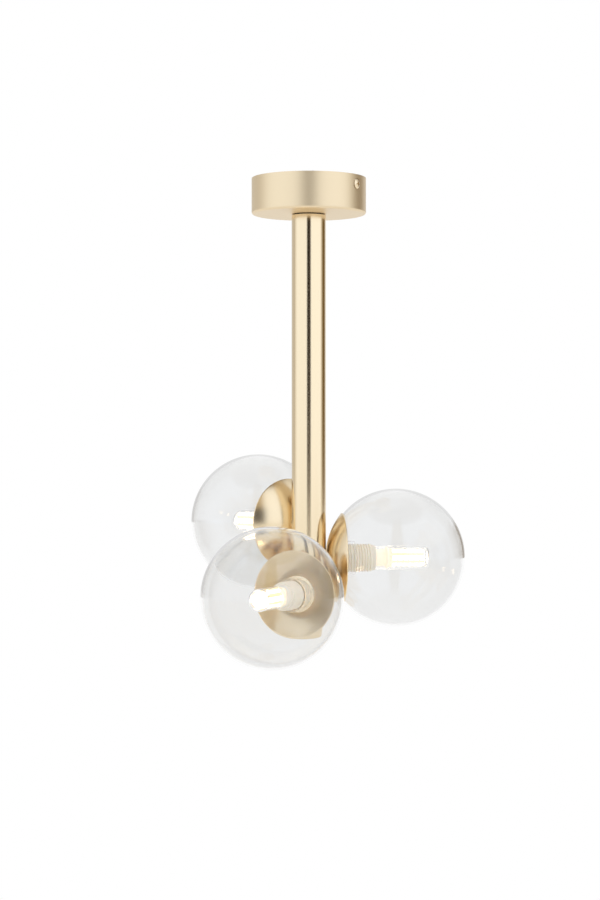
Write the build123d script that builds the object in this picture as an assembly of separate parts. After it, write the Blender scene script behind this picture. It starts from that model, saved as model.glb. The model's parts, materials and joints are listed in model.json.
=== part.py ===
from build123d import *
import math
import os

# Semi flush ceiling light: a canopy, a long tube and three glass globes round the tube's lower end.
# Millimetres. The origin is the middle of the ceiling face, +Z is up, and one lamp points along +X.

# ---------------------------------------------------------------- driving dimensions

# Canopy: a drum that is open at the top and stands against the ceiling
CANOPY_RADIUS = 50.0
CANOPY_HEIGHT = 31.5
CANOPY_WALL = 1.2
CANOPY_EDGE_ROUND = 2.0

# Screws whose heads sit in the canopy's side holes
SCREW_ANGLE = -40.0
SCREW_DROP = 8.4
SCREW_HEAD_RADIUS = 4.1
SCREW_HEAD_HEIGHT = 3.0
SCREW_DOME_HEIGHT = 1.5
SCREW_HEAD_PROUD = 1.4
SCREW_HOLE_GAP = 0.7
SCREW_SHAFT_RADIUS = 2.0
SCREW_SHAFT_LENGTH = 8.0
SCREW_TRAVEL = 3.4
CROSS_LENGTH = 5.0
CROSS_WIDTH = 1.0
CROSS_DEPTH = 1.4

# Bracket on the ceiling
BRACKET_WIDTH = 18.0
BRACKET_THICKNESS = 2.0
BRACKET_BEND = 3.0
BRACKET_TAB_DROP = 15.0
CEILING_HOLE_CIRCLE = 70.0
CEILING_HOLE_RADIUS = 2.5
CABLE_HOLE_RADIUS = 6.0

# Three-pole connector strip under the bracket
BLOCK_START = 9.0
BLOCK_DEPTH = 17.0
BLOCK_HEIGHT = 13.5
BLOCK_PITCH = 9.5
BLOCK_EDGE_ROUND = 1.5
POLE_TUBE_RADIUS = 2.9
POLE_BORE_RADIUS = 2.3
POLE_TUBE_INSET = 1.0
POLE_SCREW_RADIUS = 1.25
POLE_SCREW_SPACING = 8.0
BLOCK_SCREW_RADIUS = 1.5
BLOCK_SCREW_HEAD_RADIUS = 1.8
BLOCK_SCREW_HEAD_HEIGHT = 1.6

# Earth connection on the bracket
EARTH_SCREW_PLACE = -20.0
EARTH_SCREW_RADIUS = 2.0
EARTH_SCREW_HEAD_RADIUS = 3.8
EARTH_SCREW_HEAD_HEIGHT = 2.4
EARTH_LUG_RADIUS = 4.2
EARTH_LUG_THICKNESS = 0.8
EARTH_CRIMP_RADIUS = 1.6
EARTH_CRIMP_LENGTH = 6.0
EARTH_WIRE_RADIUS = 1.0
EARTH_WIRE_STRAIGHT = 2.5
EARTH_WIRE_MIDDLE = (-2.5, 4.5, -6.0)

# Tube
TUBE_RADIUS = 15.0
TUBE_WALL = 1.5
TUBE_TAIL = 40.0
SEAT_WASHER_THICKNESS = 0.9
SEAT_WASHER_RADIUS = 13.2
TOP_PLUG_LENGTH = 12.0
END_CAP_THICKNESS = 1.2
END_CAP_SPIGOT = 6.0

# Hollow threaded nipples, their nuts and washers
NIPPLE_RADIUS = 5.0
NIPPLE_BORE_RADIUS = 4.0
TOP_NIPPLE_RISE = 7.5
LAMP_NIPPLE_LENGTH = 16.0
NUT_FLATS = 14.0
NUT_THICKNESS = 3.0
CANOPY_WASHER_RADIUS = 12.0
CANOPY_WASHER_THICKNESS = 1.5
LOCK_WASHER_RADIUS = 8.4
LOCK_WASHER_THICKNESS = 0.8
LOCK_WASHER_TEETH = 12

# Lamps: three, a third of a turn apart, each one step below the last
FIRST_LAMP_DROP = 302.0
LAMP_STEP = 30.0
BOSS_RADIUS = 8.0
BOSS_PROUD = 0.8
BOSS_LENGTH = 6.3

# Cup behind the globe
CUP_WALL = 1.0
CUP_RIM_RADIUS = 38.7
CUP_SEAT_RADIUS = 9.3
GLOBE_CUP_GAP = 0.4

# Globe with its moulded neck
GLOBE_RADIUS = 60.5
GLOBE_WALL = 1.8
NECK_WALL = 1.9
NECK_DEPTH = 24.0
NECK_FLARE = 6.0
NECK_LIP = 0.8
GLOBE_BACK_ROUND = 1.5

# Lampholder: threaded barrel, ceramic socket and its contacts
BARREL_LENGTH = 41.6
BARREL_BACK = 3.0
BARREL_PAD_RADIUS = 9.0
BARREL_PAD_BEVEL = 1.2
BARREL_THREAD_RADIUS = 12.3
BARREL_THREAD_DEPTH = 0.8
BARREL_THREAD_PITCH = 2.4
BARREL_THREAD_START = 3.6
BARREL_BORE_RADIUS = 9.6
BARREL_NOSE_RADIUS = 11.0
BARREL_NOSE_LENGTH = 2.8
BARREL_NOSE_ROUND = 1.0
SOCKET_LENGTH = 24.4
SOCKET_RECESS = 5.2
PIN_SPACING = 9.0
SLOT_LENGTH = 3.8
SLOT_WIDTH = 1.7
SLOT_DEPTH = 9.5
CONTACT_LEAF = 0.25
CONTACT_WIDTH = 3.0
CONTACT_LENGTH = 7.6
CONTACT_TAIL_RADIUS = 0.75

# Capsule bulb
BULB_RADIUS = 9.5
BULB_COVER_WALL = 0.8
BULB_COVER_ROUND = 3.0
BULB_LENGTH = 52.0
STEM_LENGTH = 13.2
STEM_WIDTH = 14.9
STEM_THICKNESS = 9.0
STEM_ROUND = 3.0
COLLAR_LENGTH = 3.2
COLLAR_SHOULDER = 1.8
COLLAR_SPIGOT = 3.0
VENT_COUNT = 14
VENT_RADIUS = 0.45
CORE_FLATS = 12.4
CORE_TIP_CLEARANCE = 3.2
CHIP_SIZE = 3.6
CHIP_HEIGHT = 0.7
CHIP_ROWS = 6
PIN_WIRE_RADIUS = 0.4
PIN_LOOP_WIDTH = 1.9
PIN_LOOP_BEND = 0.9
PIN_LENGTH = 6.5

# Leads from the sockets to the connector strip
LEAD_RADIUS = 0.7
LEAD_RING_RADIUS = 2.6
LEAD_HALF_ANGLE = 30.0
LEAD_LAYER = 1.5
LEAD_BEND = 6.0
LEAD_BEND_SHARE = 0.45
LEAD_ENTRY = 2.5
LEAD_STRAIGHT = 2.0
LEAD_APPROACH = 1.5

# Clearances
SLIDE_CLEARANCE = 0.1
THREAD_CLEARANCE = 0.05
SCREW_BACK_CLEARANCE = 0.8
GLASS_THREAD_CLEARANCE = 0.6
RECESS_CLEARANCE = 0.3

# ---------------------------------------------------------------- places worked out from them

SCREW_HEAD_FACE = CANOPY_RADIUS + SCREW_HEAD_PROUD - SCREW_HEAD_HEIGHT
TAB_FACE = SCREW_HEAD_FACE - SCREW_TRAVEL - SCREW_BACK_CLEARANCE
CANOPY_FLOOR_Z = -CANOPY_HEIGHT + CANOPY_WALL
TUBE_TOP_Z = -CANOPY_HEIGHT - SEAT_WASHER_THICKNESS
TUBE_BORE_RADIUS = TUBE_RADIUS - TUBE_WALL
NIPPLE_HOLE_RADIUS = NIPPLE_RADIUS + THREAD_CLEARANCE
POLE_Z = -BRACKET_THICKNESS - BLOCK_HEIGHT / 2

BOSS_FACE = TUBE_RADIUS + BOSS_PROUD
CUP_INNER_RADIUS = GLOBE_RADIUS + GLOBE_CUP_GAP
CUP_OUTER_RADIUS = CUP_INNER_RADIUS + CUP_WALL
CUP_SEAT_SAG = CUP_OUTER_RADIUS - math.sqrt(CUP_OUTER_RADIUS**2 - CUP_SEAT_RADIUS**2)
GLOBE_CENTRE = BOSS_FACE - CUP_SEAT_SAG + CUP_OUTER_RADIUS
HOLDER_SEAT = BOSS_FACE + CUP_WALL
BARREL_FRONT = HOLDER_SEAT + BARREL_LENGTH
SOCKET_RADIUS = BARREL_BORE_RADIUS - SLIDE_CLEARANCE
SOCKET_BACK = BARREL_FRONT - SOCKET_LENGTH
RECESS_FLOOR = BARREL_FRONT - SOCKET_RECESS
SLOT_FLOOR = RECESS_FLOOR - SLOT_DEPTH
STEM_BACK = RECESS_FLOOR + RECESS_CLEARANCE
COLLAR_BACK = STEM_BACK + STEM_LENGTH
COLLAR_FRONT = COLLAR_BACK + COLLAR_LENGTH
BULB_TIP = STEM_BACK + BULB_LENGTH
CORE_BACK = COLLAR_FRONT + COLLAR_SPIGOT
CORE_LENGTH = BULB_TIP - BULB_COVER_WALL - CORE_TIP_CLEARANCE - CORE_BACK
NECK_BORE_RADIUS = BARREL_THREAD_RADIUS + GLASS_THREAD_CLEARANCE

# The strip's poles, counted from its middle: live, neutral and earth
POLES = (-1, 0, 1)
LIVE, NEUTRAL, EARTH = POLES

# Each lamp's direction round the tube in degrees, and how many steps it hangs below the first
LAMP_ANGLES = {"back": 120.0, "right": 0.0, "front": -120.0}
LAMP_STEP_COUNTS = {"back": 0, "right": 1, "front": 2}
LAMPS = tuple(LAMP_ANGLES)
TUBE_BOTTOM_Z = -(FIRST_LAMP_DROP + max(LAMP_STEP_COUNTS.values()) * LAMP_STEP + TUBE_TAIL)

# Each lamp's two leads: side of the lamp's plane, pole, layer in the pole, height where it turns
LEAD_RUNS = {
    "front": ((-1, LIVE, 0, -15.5), (1, NEUTRAL, -1, -16.0)),
    "right": ((-1, LIVE, -1, -18.5), (1, NEUTRAL, 0, -13.0)),
    "back": ((-1, NEUTRAL, 1, -10.5), (1, LIVE, 1, -13.5)),
}


# ---------------------------------------------------------------- helpers

def turned(points):
    """A closed outline of (place along X, radius) points, turned round the X axis."""
    outline = make_face(Polyline(*points, close=True))
    return revolve(outline, Axis.X)


def ring(inner, outer, bottom, top):
    """A ring or tube about the Z axis between two heights."""
    section = Circle(outer) - Circle(inner)
    return Pos(0, 0, bottom) * extrude(section, top - bottom)


def rod_x(radius, start, end, y=0.0, z=0.0):
    """A round rod along X."""
    rod = Rot(0, 90, 0) * extrude(Circle(radius), end - start)
    return Pos(start, y, z) * rod


def rod_z(radius, bottom, top, x=0.0, y=0.0):
    """A round rod along Z."""
    return Pos(x, y, bottom) * extrude(Circle(radius), top - bottom)


def block(x_range, y_range, z_range):
    """A box given by its range along each axis."""
    corner = (x_range[0], y_range[0], z_range[0])
    size = (x_range[1] - x_range[0], y_range[1] - y_range[0], z_range[1] - z_range[0])
    return Pos(*corner) * Box(*size, align=(Align.MIN, Align.MIN, Align.MIN))


def hexagon_nut(thickness):
    """A hexagon nut about the Z axis, standing on z = 0."""
    section = RegularPolygon(NUT_FLATS / 2, 6, major_radius=False) - Circle(NIPPLE_HOLE_RADIUS)
    return extrude(section, thickness)


def along_x(shape, start):
    """Lay a piece that was made along Z on the X axis, with its base at start."""
    return Pos(start, 0, 0) * Rot(0, 90, 0) * shape


def nearest_vertex(shape, place):
    """The corner of a flat outline that lies nearest to a place."""
    return shape.vertices().sort_by_distance(place)[0]


def lamp_frame(lamp):
    """From a lamp's own frame, with X along its axis from the tube's axis, to the light's frame."""
    drop = FIRST_LAMP_DROP + LAMP_STEP_COUNTS[lamp] * LAMP_STEP
    return Pos(0, 0, -drop) * Rot(0, 0, LAMP_ANGLES[lamp])


def lamp_point(lamp, x, y, z):
    return (lamp_frame(lamp) * Pos(x, y, z)).position


def bracket_point(x, y, z):
    return (Rot(0, 0, SCREW_ANGLE) * Pos(x, y, z)).position


def bend_radii(points):
    """At each corner of a route, the largest bend that its runs leave room for, up to LEAD_BEND."""
    radii = []
    for before, corner, after in zip(points, points[1:], points[2:]):
        shorter = min((corner - before).length, (after - corner).length)
        half_turn = math.radians((corner - before).get_angle(after - corner)) / 2
        radii.append(min(LEAD_BEND, LEAD_BEND_SHARE * shorter / math.tan(half_turn)))
    return radii


def wire(points, radius, name):
    """A round wire along straight runs joined by bends."""
    radii = bend_radii(points)
    route = FilletPolyline(*points, radius=radii)
    print(name, "bends", [round(value, 1) for value in radii], "length", round(route.length, 1))
    section = Plane(route @ 0, z_dir=route % 0) * Circle(radius)
    return sweep(section, path=route)


def save(shape, name):
    export_step(shape, os.path.join("parts", name + ".step"))


# ---------------------------------------------------------------- canopy and bracket

def canopy():
    """The drum, with its tube hole in the floor and the two screw head holes in its side."""
    drum = rod_z(CANOPY_RADIUS, -CANOPY_HEIGHT, 0)
    drum = fillet(drum.edges().group_by(Axis.Z)[0], CANOPY_EDGE_ROUND)
    inner = rod_z(CANOPY_RADIUS - CANOPY_WALL, CANOPY_FLOOR_Z, 0)
    inner = fillet(inner.edges().group_by(Axis.Z)[0], CANOPY_EDGE_ROUND - CANOPY_WALL)
    drum -= inner
    drum -= rod_z(NIPPLE_HOLE_RADIUS, -CANOPY_HEIGHT, CANOPY_FLOOR_Z)
    hole_radius = SCREW_HEAD_RADIUS + SCREW_HOLE_GAP
    cutter = rod_x(hole_radius, -CANOPY_RADIUS - CANOPY_WALL, CANOPY_RADIUS + CANOPY_WALL, 0, -SCREW_DROP)
    return drum - Rot(0, 0, SCREW_ANGLE) * cutter


def canopy_screw():
    """A screw on the X axis at the screws' height: shaft, domed head and cross recess."""
    crown = SCREW_HEAD_FACE + SCREW_HEAD_HEIGHT
    shoulder = crown - SCREW_DOME_HEIGHT
    dome_radius = (SCREW_HEAD_RADIUS**2 + SCREW_DOME_HEIGHT**2) / (2 * SCREW_DOME_HEIGHT)
    half = SCREW_HEAD_RADIUS / 2
    half_place = crown - dome_radius + math.sqrt(dome_radius**2 - half**2)
    tip = SCREW_HEAD_FACE - SCREW_SHAFT_LENGTH
    dome = ThreePointArc((shoulder, SCREW_HEAD_RADIUS), (half_place, half), (crown, 0))
    straight = Polyline(
        (crown, 0),
        (tip, 0),
        (tip, SCREW_SHAFT_RADIUS),
        (SCREW_HEAD_FACE, SCREW_SHAFT_RADIUS),
        (SCREW_HEAD_FACE, SCREW_HEAD_RADIUS),
        (shoulder, SCREW_HEAD_RADIUS),
    )
    screw = revolve(make_face(straight + dome), Axis.X)
    deep = (crown - CROSS_DEPTH, crown)
    narrow = (-CROSS_WIDTH / 2, CROSS_WIDTH / 2)
    wide = (-CROSS_LENGTH / 2, CROSS_LENGTH / 2)
    screw -= block(deep, narrow, wide)
    screw -= block(deep, wide, narrow)
    return Pos(0, 0, -SCREW_DROP) * screw


def mounting_bracket():
    """A strap under the ceiling with a tapped tab turned down at each end."""
    tab_start = TAB_FACE - BRACKET_THICKNESS
    outer = Pos(0, -BRACKET_TAB_DROP / 2) * Rectangle(2 * TAB_FACE, BRACKET_TAB_DROP)
    inner_height = BRACKET_TAB_DROP - BRACKET_THICKNESS
    inner = Pos(0, -BRACKET_THICKNESS - inner_height / 2) * Rectangle(2 * tab_start, inner_height)
    profile = outer - inner
    outer_corners = [nearest_vertex(profile, (side * TAB_FACE, 0)) for side in (-1, 1)]
    profile = fillet(outer_corners, BRACKET_BEND)
    inner_corners = [nearest_vertex(profile, (side * tab_start, -BRACKET_THICKNESS)) for side in (-1, 1)]
    profile = fillet(inner_corners, BRACKET_BEND - BRACKET_THICKNESS)
    strap = extrude(Plane.XZ * profile, BRACKET_WIDTH / 2, both=True)
    strap -= rod_z(CABLE_HOLE_RADIUS, -BRACKET_THICKNESS, 0)
    for side in (-1, 1):
        strap -= rod_z(CEILING_HOLE_RADIUS, -BRACKET_THICKNESS, 0, side * CEILING_HOLE_CIRCLE / 2)
    tap_radius = SCREW_SHAFT_RADIUS + SLIDE_CLEARANCE
    strap -= rod_x(tap_radius, -TAB_FACE, TAB_FACE, 0, -SCREW_DROP)
    strap -= rod_z(EARTH_SCREW_RADIUS + THREAD_CLEARANCE, -BRACKET_THICKNESS, 0, EARTH_SCREW_PLACE)
    screw_x, screw_y = block_screw_place()
    strap -= rod_z(BLOCK_SCREW_RADIUS + THREAD_CLEARANCE, -BRACKET_THICKNESS, 0, screw_x, screw_y)
    return strap


# ---------------------------------------------------------------- connector strip and earth

def pole_place(pole):
    """How far a pole lies to the side of the bracket's middle."""
    return pole * BLOCK_PITCH


def pole_screw_places():
    """Where the clamping screws stand: two to each pole."""
    middle = BLOCK_START + BLOCK_DEPTH / 2
    ends = (middle - POLE_SCREW_SPACING / 2, middle + POLE_SCREW_SPACING / 2)
    return [(x, pole_place(pole)) for pole in POLES for x in ends]


def block_screw_place():
    """The screw that holds the strip stands between two of its poles."""
    return BLOCK_START + BLOCK_DEPTH / 2, BLOCK_PITCH / 2


def terminal_block():
    """The strip's body: a bore through it at each pole, and a well for each screw."""
    top = -BRACKET_THICKNESS
    bottom = top - BLOCK_HEIGHT
    half_length = len(POLES) * BLOCK_PITCH / 2
    body = block((BLOCK_START, BLOCK_START + BLOCK_DEPTH), (-half_length, half_length), (bottom, top))
    body = fillet(body.edges().filter_by(Axis.X).group_by(Axis.Z)[0], BLOCK_EDGE_ROUND)
    for pole in POLES:
        bore = POLE_TUBE_RADIUS + THREAD_CLEARANCE
        body -= rod_x(bore, BLOCK_START, BLOCK_START + BLOCK_DEPTH, pole_place(pole), POLE_Z)
    for x, y in pole_screw_places():
        body -= rod_z(POLE_SCREW_RADIUS + SLIDE_CLEARANCE, bottom, POLE_Z, x, y)
    x, y = block_screw_place()
    body -= rod_z(BLOCK_SCREW_RADIUS + THREAD_CLEARANCE, bottom, top, x, y)
    return body


def terminal_tubes():
    """The brass insert of each pole, with its two screw holes."""
    tubes = []
    start = BLOCK_START + POLE_TUBE_INSET
    end = BLOCK_START + BLOCK_DEPTH - POLE_TUBE_INSET
    for pole in POLES:
        y = pole_place(pole)
        tube = rod_x(POLE_TUBE_RADIUS, start, end, y, POLE_Z) - rod_x(POLE_BORE_RADIUS, start, end, y, POLE_Z)
        for x, screw_y in pole_screw_places():
            if screw_y == y:
                hole = POLE_SCREW_RADIUS + THREAD_CLEARANCE
                tube -= rod_z(hole, POLE_Z - POLE_TUBE_RADIUS, POLE_Z, x, y)
        tubes.append(tube)
    return Compound(children=tubes)


def terminal_screws():
    """Six clamping screws, each with a slot in its lower end."""
    screws = []
    bottom = -BRACKET_THICKNESS - BLOCK_HEIGHT + POLE_TUBE_INSET
    top = POLE_Z - POLE_BORE_RADIUS + POLE_TUBE_INSET
    for x, y in pole_screw_places():
        screw = rod_z(POLE_SCREW_RADIUS, bottom, top, x, y)
        slot_half = POLE_SCREW_RADIUS / 4
        slot_x = (x - slot_half, x + slot_half)
        slot_y = (y - POLE_SCREW_RADIUS, y + POLE_SCREW_RADIUS)
        screw -= block(slot_x, slot_y, (bottom, bottom + 2 * slot_half))
        screws.append(screw)
    return Compound(children=screws)


def block_screw():
    """The screw up through the strip into the bracket."""
    x, y = block_screw_place()
    bottom = -BRACKET_THICKNESS - BLOCK_HEIGHT
    shaft = rod_z(BLOCK_SCREW_RADIUS, bottom, 0, x, y)
    head = rod_z(BLOCK_SCREW_HEAD_RADIUS, bottom - BLOCK_SCREW_HEAD_HEIGHT, bottom, x, y)
    return shaft + head


def earth_lug():
    """A ring under the bracket with a crimp sleeve that points at the connector strip."""
    top = -BRACKET_THICKNESS
    bottom = top - EARTH_LUG_THICKNESS
    plate = rod_z(EARTH_LUG_RADIUS, bottom, top, EARTH_SCREW_PLACE)
    neck_end = earth_crimp_start() + EARTH_LUG_THICKNESS
    neck = block((EARTH_SCREW_PLACE, neck_end), (-EARTH_CRIMP_RADIUS, EARTH_CRIMP_RADIUS), (bottom, top))
    end = earth_crimp_start() + EARTH_CRIMP_LENGTH
    sleeve = rod_x(EARTH_CRIMP_RADIUS, earth_crimp_start(), end, 0, earth_crimp_z())
    bore = rod_x(EARTH_WIRE_RADIUS, earth_crimp_start() + EARTH_LUG_THICKNESS, end, 0, earth_crimp_z())
    hole = rod_z(EARTH_SCREW_RADIUS + THREAD_CLEARANCE, bottom, top, EARTH_SCREW_PLACE)
    return plate + neck + sleeve - bore - hole


def earth_crimp_start():
    return EARTH_SCREW_PLACE + EARTH_LUG_RADIUS


def earth_crimp_z():
    return -BRACKET_THICKNESS - EARTH_CRIMP_RADIUS


def earth_screw():
    """The screw that clamps the lug, with a slot across its head."""
    seat = -BRACKET_THICKNESS - EARTH_LUG_THICKNESS
    shaft = rod_z(EARTH_SCREW_RADIUS, seat, 0, EARTH_SCREW_PLACE)
    bottom = seat - EARTH_SCREW_HEAD_HEIGHT
    head = rod_z(EARTH_SCREW_HEAD_RADIUS, bottom, seat, EARTH_SCREW_PLACE)
    slot_x = (EARTH_SCREW_PLACE - CROSS_WIDTH / 2, EARTH_SCREW_PLACE + CROSS_WIDTH / 2)
    slot_y = (-EARTH_SCREW_HEAD_RADIUS, EARTH_SCREW_HEAD_RADIUS)
    return shaft + head - block(slot_x, slot_y, (bottom, bottom + EARTH_SCREW_HEAD_HEIGHT / 2))


def earth_wire():
    """The earth wire from the third pole back to the crimp sleeve."""
    pole_y = pole_place(EARTH)
    sleeve_end = earth_crimp_start() + EARTH_CRIMP_LENGTH
    route = [
        bracket_point(BLOCK_START + LEAD_ENTRY, pole_y, POLE_Z),
        bracket_point(BLOCK_START - 2 * EARTH_WIRE_STRAIGHT, pole_y, POLE_Z),
        bracket_point(*EARTH_WIRE_MIDDLE),
        bracket_point(sleeve_end + EARTH_WIRE_STRAIGHT, 0, earth_crimp_z()),
        bracket_point(sleeve_end, 0, earth_crimp_z()),
    ]
    return wire(route, EARTH_WIRE_RADIUS, "earth_wire")


# ---------------------------------------------------------------- tube and its joint to the canopy

def tube():
    """The long tube, with a hole for each lamp's boss."""
    body = ring(TUBE_BORE_RADIUS, TUBE_RADIUS, TUBE_BOTTOM_Z, TUBE_TOP_Z)
    for lamp in LAMPS:
        hole = rod_x(BOSS_RADIUS + THREAD_CLEARANCE, 0, TUBE_RADIUS + BOSS_PROUD)
        body -= lamp_frame(lamp) * hole
    return body


def tube_top_plug():
    plug_radius = TUBE_BORE_RADIUS - THREAD_CLEARANCE
    return ring(NIPPLE_HOLE_RADIUS, plug_radius, TUBE_TOP_Z - TOP_PLUG_LENGTH, TUBE_TOP_Z)


def tube_end_cap():
    """A flange as wide as the tube, with a spigot that fits inside it."""
    flange = rod_z(TUBE_RADIUS, TUBE_BOTTOM_Z - END_CAP_THICKNESS, TUBE_BOTTOM_Z)
    flange = fillet(flange.edges().group_by(Axis.Z)[0], END_CAP_THICKNESS / 3)
    spigot = rod_z(TUBE_BORE_RADIUS - SLIDE_CLEARANCE, TUBE_BOTTOM_Z, TUBE_BOTTOM_Z + END_CAP_SPIGOT)
    return flange + spigot


def tube_seat_washer():
    return ring(NIPPLE_HOLE_RADIUS, SEAT_WASHER_RADIUS, TUBE_TOP_Z, -CANOPY_HEIGHT)


def top_nipple():
    bottom = TUBE_TOP_Z - TOP_PLUG_LENGTH
    return ring(NIPPLE_BORE_RADIUS, NIPPLE_RADIUS, bottom, CANOPY_FLOOR_Z + TOP_NIPPLE_RISE)


def canopy_washer():
    top = CANOPY_FLOOR_Z + CANOPY_WASHER_THICKNESS
    return ring(NIPPLE_HOLE_RADIUS, CANOPY_WASHER_RADIUS, CANOPY_FLOOR_Z, top)


def canopy_locknut():
    return Pos(0, 0, CANOPY_FLOOR_Z + CANOPY_WASHER_THICKNESS) * hexagon_nut(NUT_THICKNESS)


# ---------------------------------------------------------------- one lamp, with X along its axis

def boss():
    """The bush in the tube's wall: its flat face is the cup's seat."""
    start = BOSS_FACE - BOSS_LENGTH
    return rod_x(BOSS_RADIUS, start, BOSS_FACE) - rod_x(NIPPLE_HOLE_RADIUS, start, BOSS_FACE)


def lamp_nipple():
    start = BOSS_FACE - BOSS_LENGTH
    end = start + LAMP_NIPPLE_LENGTH
    return rod_x(NIPPLE_RADIUS, start, end) - rod_x(NIPPLE_BORE_RADIUS, start, end)


def holder_lock_washer():
    """A toothed washer: notches cut into its edge leave the teeth."""
    section = Circle(LOCK_WASHER_RADIUS) - Circle(NIPPLE_HOLE_RADIUS)
    notch = Rectangle(LOCK_WASHER_RADIUS / 4, LOCK_WASHER_RADIUS / 8)
    for tooth in range(LOCK_WASHER_TEETH):
        section -= Rot(0, 0, tooth * 360 / LOCK_WASHER_TEETH) * Pos(LOCK_WASHER_RADIUS, 0) * notch
    return along_x(extrude(section, LOCK_WASHER_THICKNESS), HOLDER_SEAT + BARREL_BACK)


def holder_nut():
    start = HOLDER_SEAT + BARREL_BACK + LOCK_WASHER_THICKNESS
    return along_x(hexagon_nut(NUT_THICKNESS), start)


def on_sphere(radius, height):
    """A point on a circle about the globe's centre, on the tube's side, at a height off the axis."""
    return GLOBE_CENTRE - math.sqrt(radius**2 - height**2), height


def cup():
    """A thin spherical dish with a flat seat in its middle and a rounded rim."""
    rim_middle_radius = (CUP_OUTER_RADIUS + CUP_INNER_RADIUS) / 2
    rim_angle = math.asin(CUP_RIM_RADIUS / rim_middle_radius)
    slope = (math.cos(rim_angle), math.sin(rim_angle))
    rim = [(GLOBE_CENTRE - r * slope[0], r * slope[1]) for r in (CUP_OUTER_RADIUS, CUP_INNER_RADIUS)]
    lip_middle = (
        GLOBE_CENTRE - rim_middle_radius * slope[0] + CUP_WALL / 2 * slope[1],
        rim_middle_radius * slope[1] + CUP_WALL / 2 * slope[0],
    )
    inner_seat_radius = math.sqrt(CUP_INNER_RADIUS**2 - (GLOBE_CENTRE - HOLDER_SEAT) ** 2)
    halfway = (CUP_SEAT_RADIUS + CUP_RIM_RADIUS) / 2
    outer_arc = ThreePointArc(
        (BOSS_FACE, CUP_SEAT_RADIUS), on_sphere(CUP_OUTER_RADIUS, halfway), rim[0]
    )
    lip = ThreePointArc(rim[0], lip_middle, rim[1])
    inner_arc = ThreePointArc(
        rim[1], on_sphere(CUP_INNER_RADIUS, halfway), (HOLDER_SEAT, inner_seat_radius)
    )
    seat = Polyline(
        (HOLDER_SEAT, inner_seat_radius),
        (HOLDER_SEAT, NIPPLE_HOLE_RADIUS),
        (BOSS_FACE, NIPPLE_HOLE_RADIUS),
        (BOSS_FACE, CUP_SEAT_RADIUS),
    )
    return revolve(make_face(outer_arc + lip + inner_arc + seat), Axis.X)


def globe():
    """A glass shell whose back turns inwards into a straight neck."""
    neck_end = -GLOBE_RADIUS + NECK_DEPTH
    neck_outer = NECK_BORE_RADIUS + NECK_WALL
    inner_radius = GLOBE_RADIUS - GLOBE_WALL
    shell = Circle(GLOBE_RADIUS) - Circle(inner_radius)
    neck = Pos(-GLOBE_RADIUS, NECK_BORE_RADIUS) * Rectangle(NECK_DEPTH, NECK_WALL, align=(Align.MIN, Align.MIN))
    shell += neck & Circle(GLOBE_RADIUS)
    mouth = Rectangle(NECK_DEPTH, 2 * NECK_BORE_RADIUS, align=(Align.MIN, Align.CENTER))
    shell -= Pos(-GLOBE_RADIUS, 0) * mouth
    half = Rectangle(4 * GLOBE_RADIUS, 2 * GLOBE_RADIUS, align=(Align.CENTER, Align.MAX))
    shell -= half
    flare_place = (-math.sqrt(inner_radius**2 - neck_outer**2), neck_outer)
    shell = fillet(nearest_vertex(shell, flare_place), NECK_FLARE)
    back_place = (-math.sqrt(GLOBE_RADIUS**2 - NECK_BORE_RADIUS**2), NECK_BORE_RADIUS)
    shell = fillet(nearest_vertex(shell, back_place), GLOBE_BACK_ROUND)
    lip = [nearest_vertex(shell, (neck_end, radius)) for radius in (NECK_BORE_RADIUS, neck_outer)]
    shell = fillet(lip, NECK_LIP)
    return Pos(GLOBE_CENTRE, 0, 0) * revolve(shell, Axis.X)


def barrel():
    """The lampholder's barrel: closed back, threaded outside, smooth rounded nose."""
    root = BARREL_THREAD_RADIUS - BARREL_THREAD_DEPTH
    nose_start = BARREL_FRONT - BARREL_NOSE_LENGTH
    thread_start = HOLDER_SEAT + BARREL_THREAD_START
    turns = int((nose_start - thread_start) / BARREL_THREAD_PITCH)
    flank = BARREL_THREAD_PITCH / 4
    outline = [
        (HOLDER_SEAT, NIPPLE_HOLE_RADIUS),
        (HOLDER_SEAT, BARREL_PAD_RADIUS),
        (HOLDER_SEAT + BARREL_PAD_BEVEL, root),
    ]
    for turn in range(turns):
        start = nose_start - (turns - turn) * BARREL_THREAD_PITCH
        outline += [
            (start, root),
            (start + flank, BARREL_THREAD_RADIUS),
            (start + 2 * flank, BARREL_THREAD_RADIUS),
            (start + 3 * flank, root),
        ]
    outline += [
        (nose_start, root),
        (nose_start, BARREL_NOSE_RADIUS),
        (BARREL_FRONT, BARREL_NOSE_RADIUS),
        (BARREL_FRONT, BARREL_BORE_RADIUS),
        (HOLDER_SEAT + BARREL_BACK, BARREL_BORE_RADIUS),
        (HOLDER_SEAT + BARREL_BACK, NIPPLE_HOLE_RADIUS),
    ]
    face = make_face(Polyline(*outline, close=True))
    face = fillet(nearest_vertex(face, (BARREL_FRONT, BARREL_NOSE_RADIUS)), BARREL_NOSE_ROUND)
    return revolve(face, Axis.X)


def across_x(section, start, length):
    """Push a flat outline, drawn in (Y, Z), along X from start."""
    return extrude(Plane.YZ.offset(start) * section, length)


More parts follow.
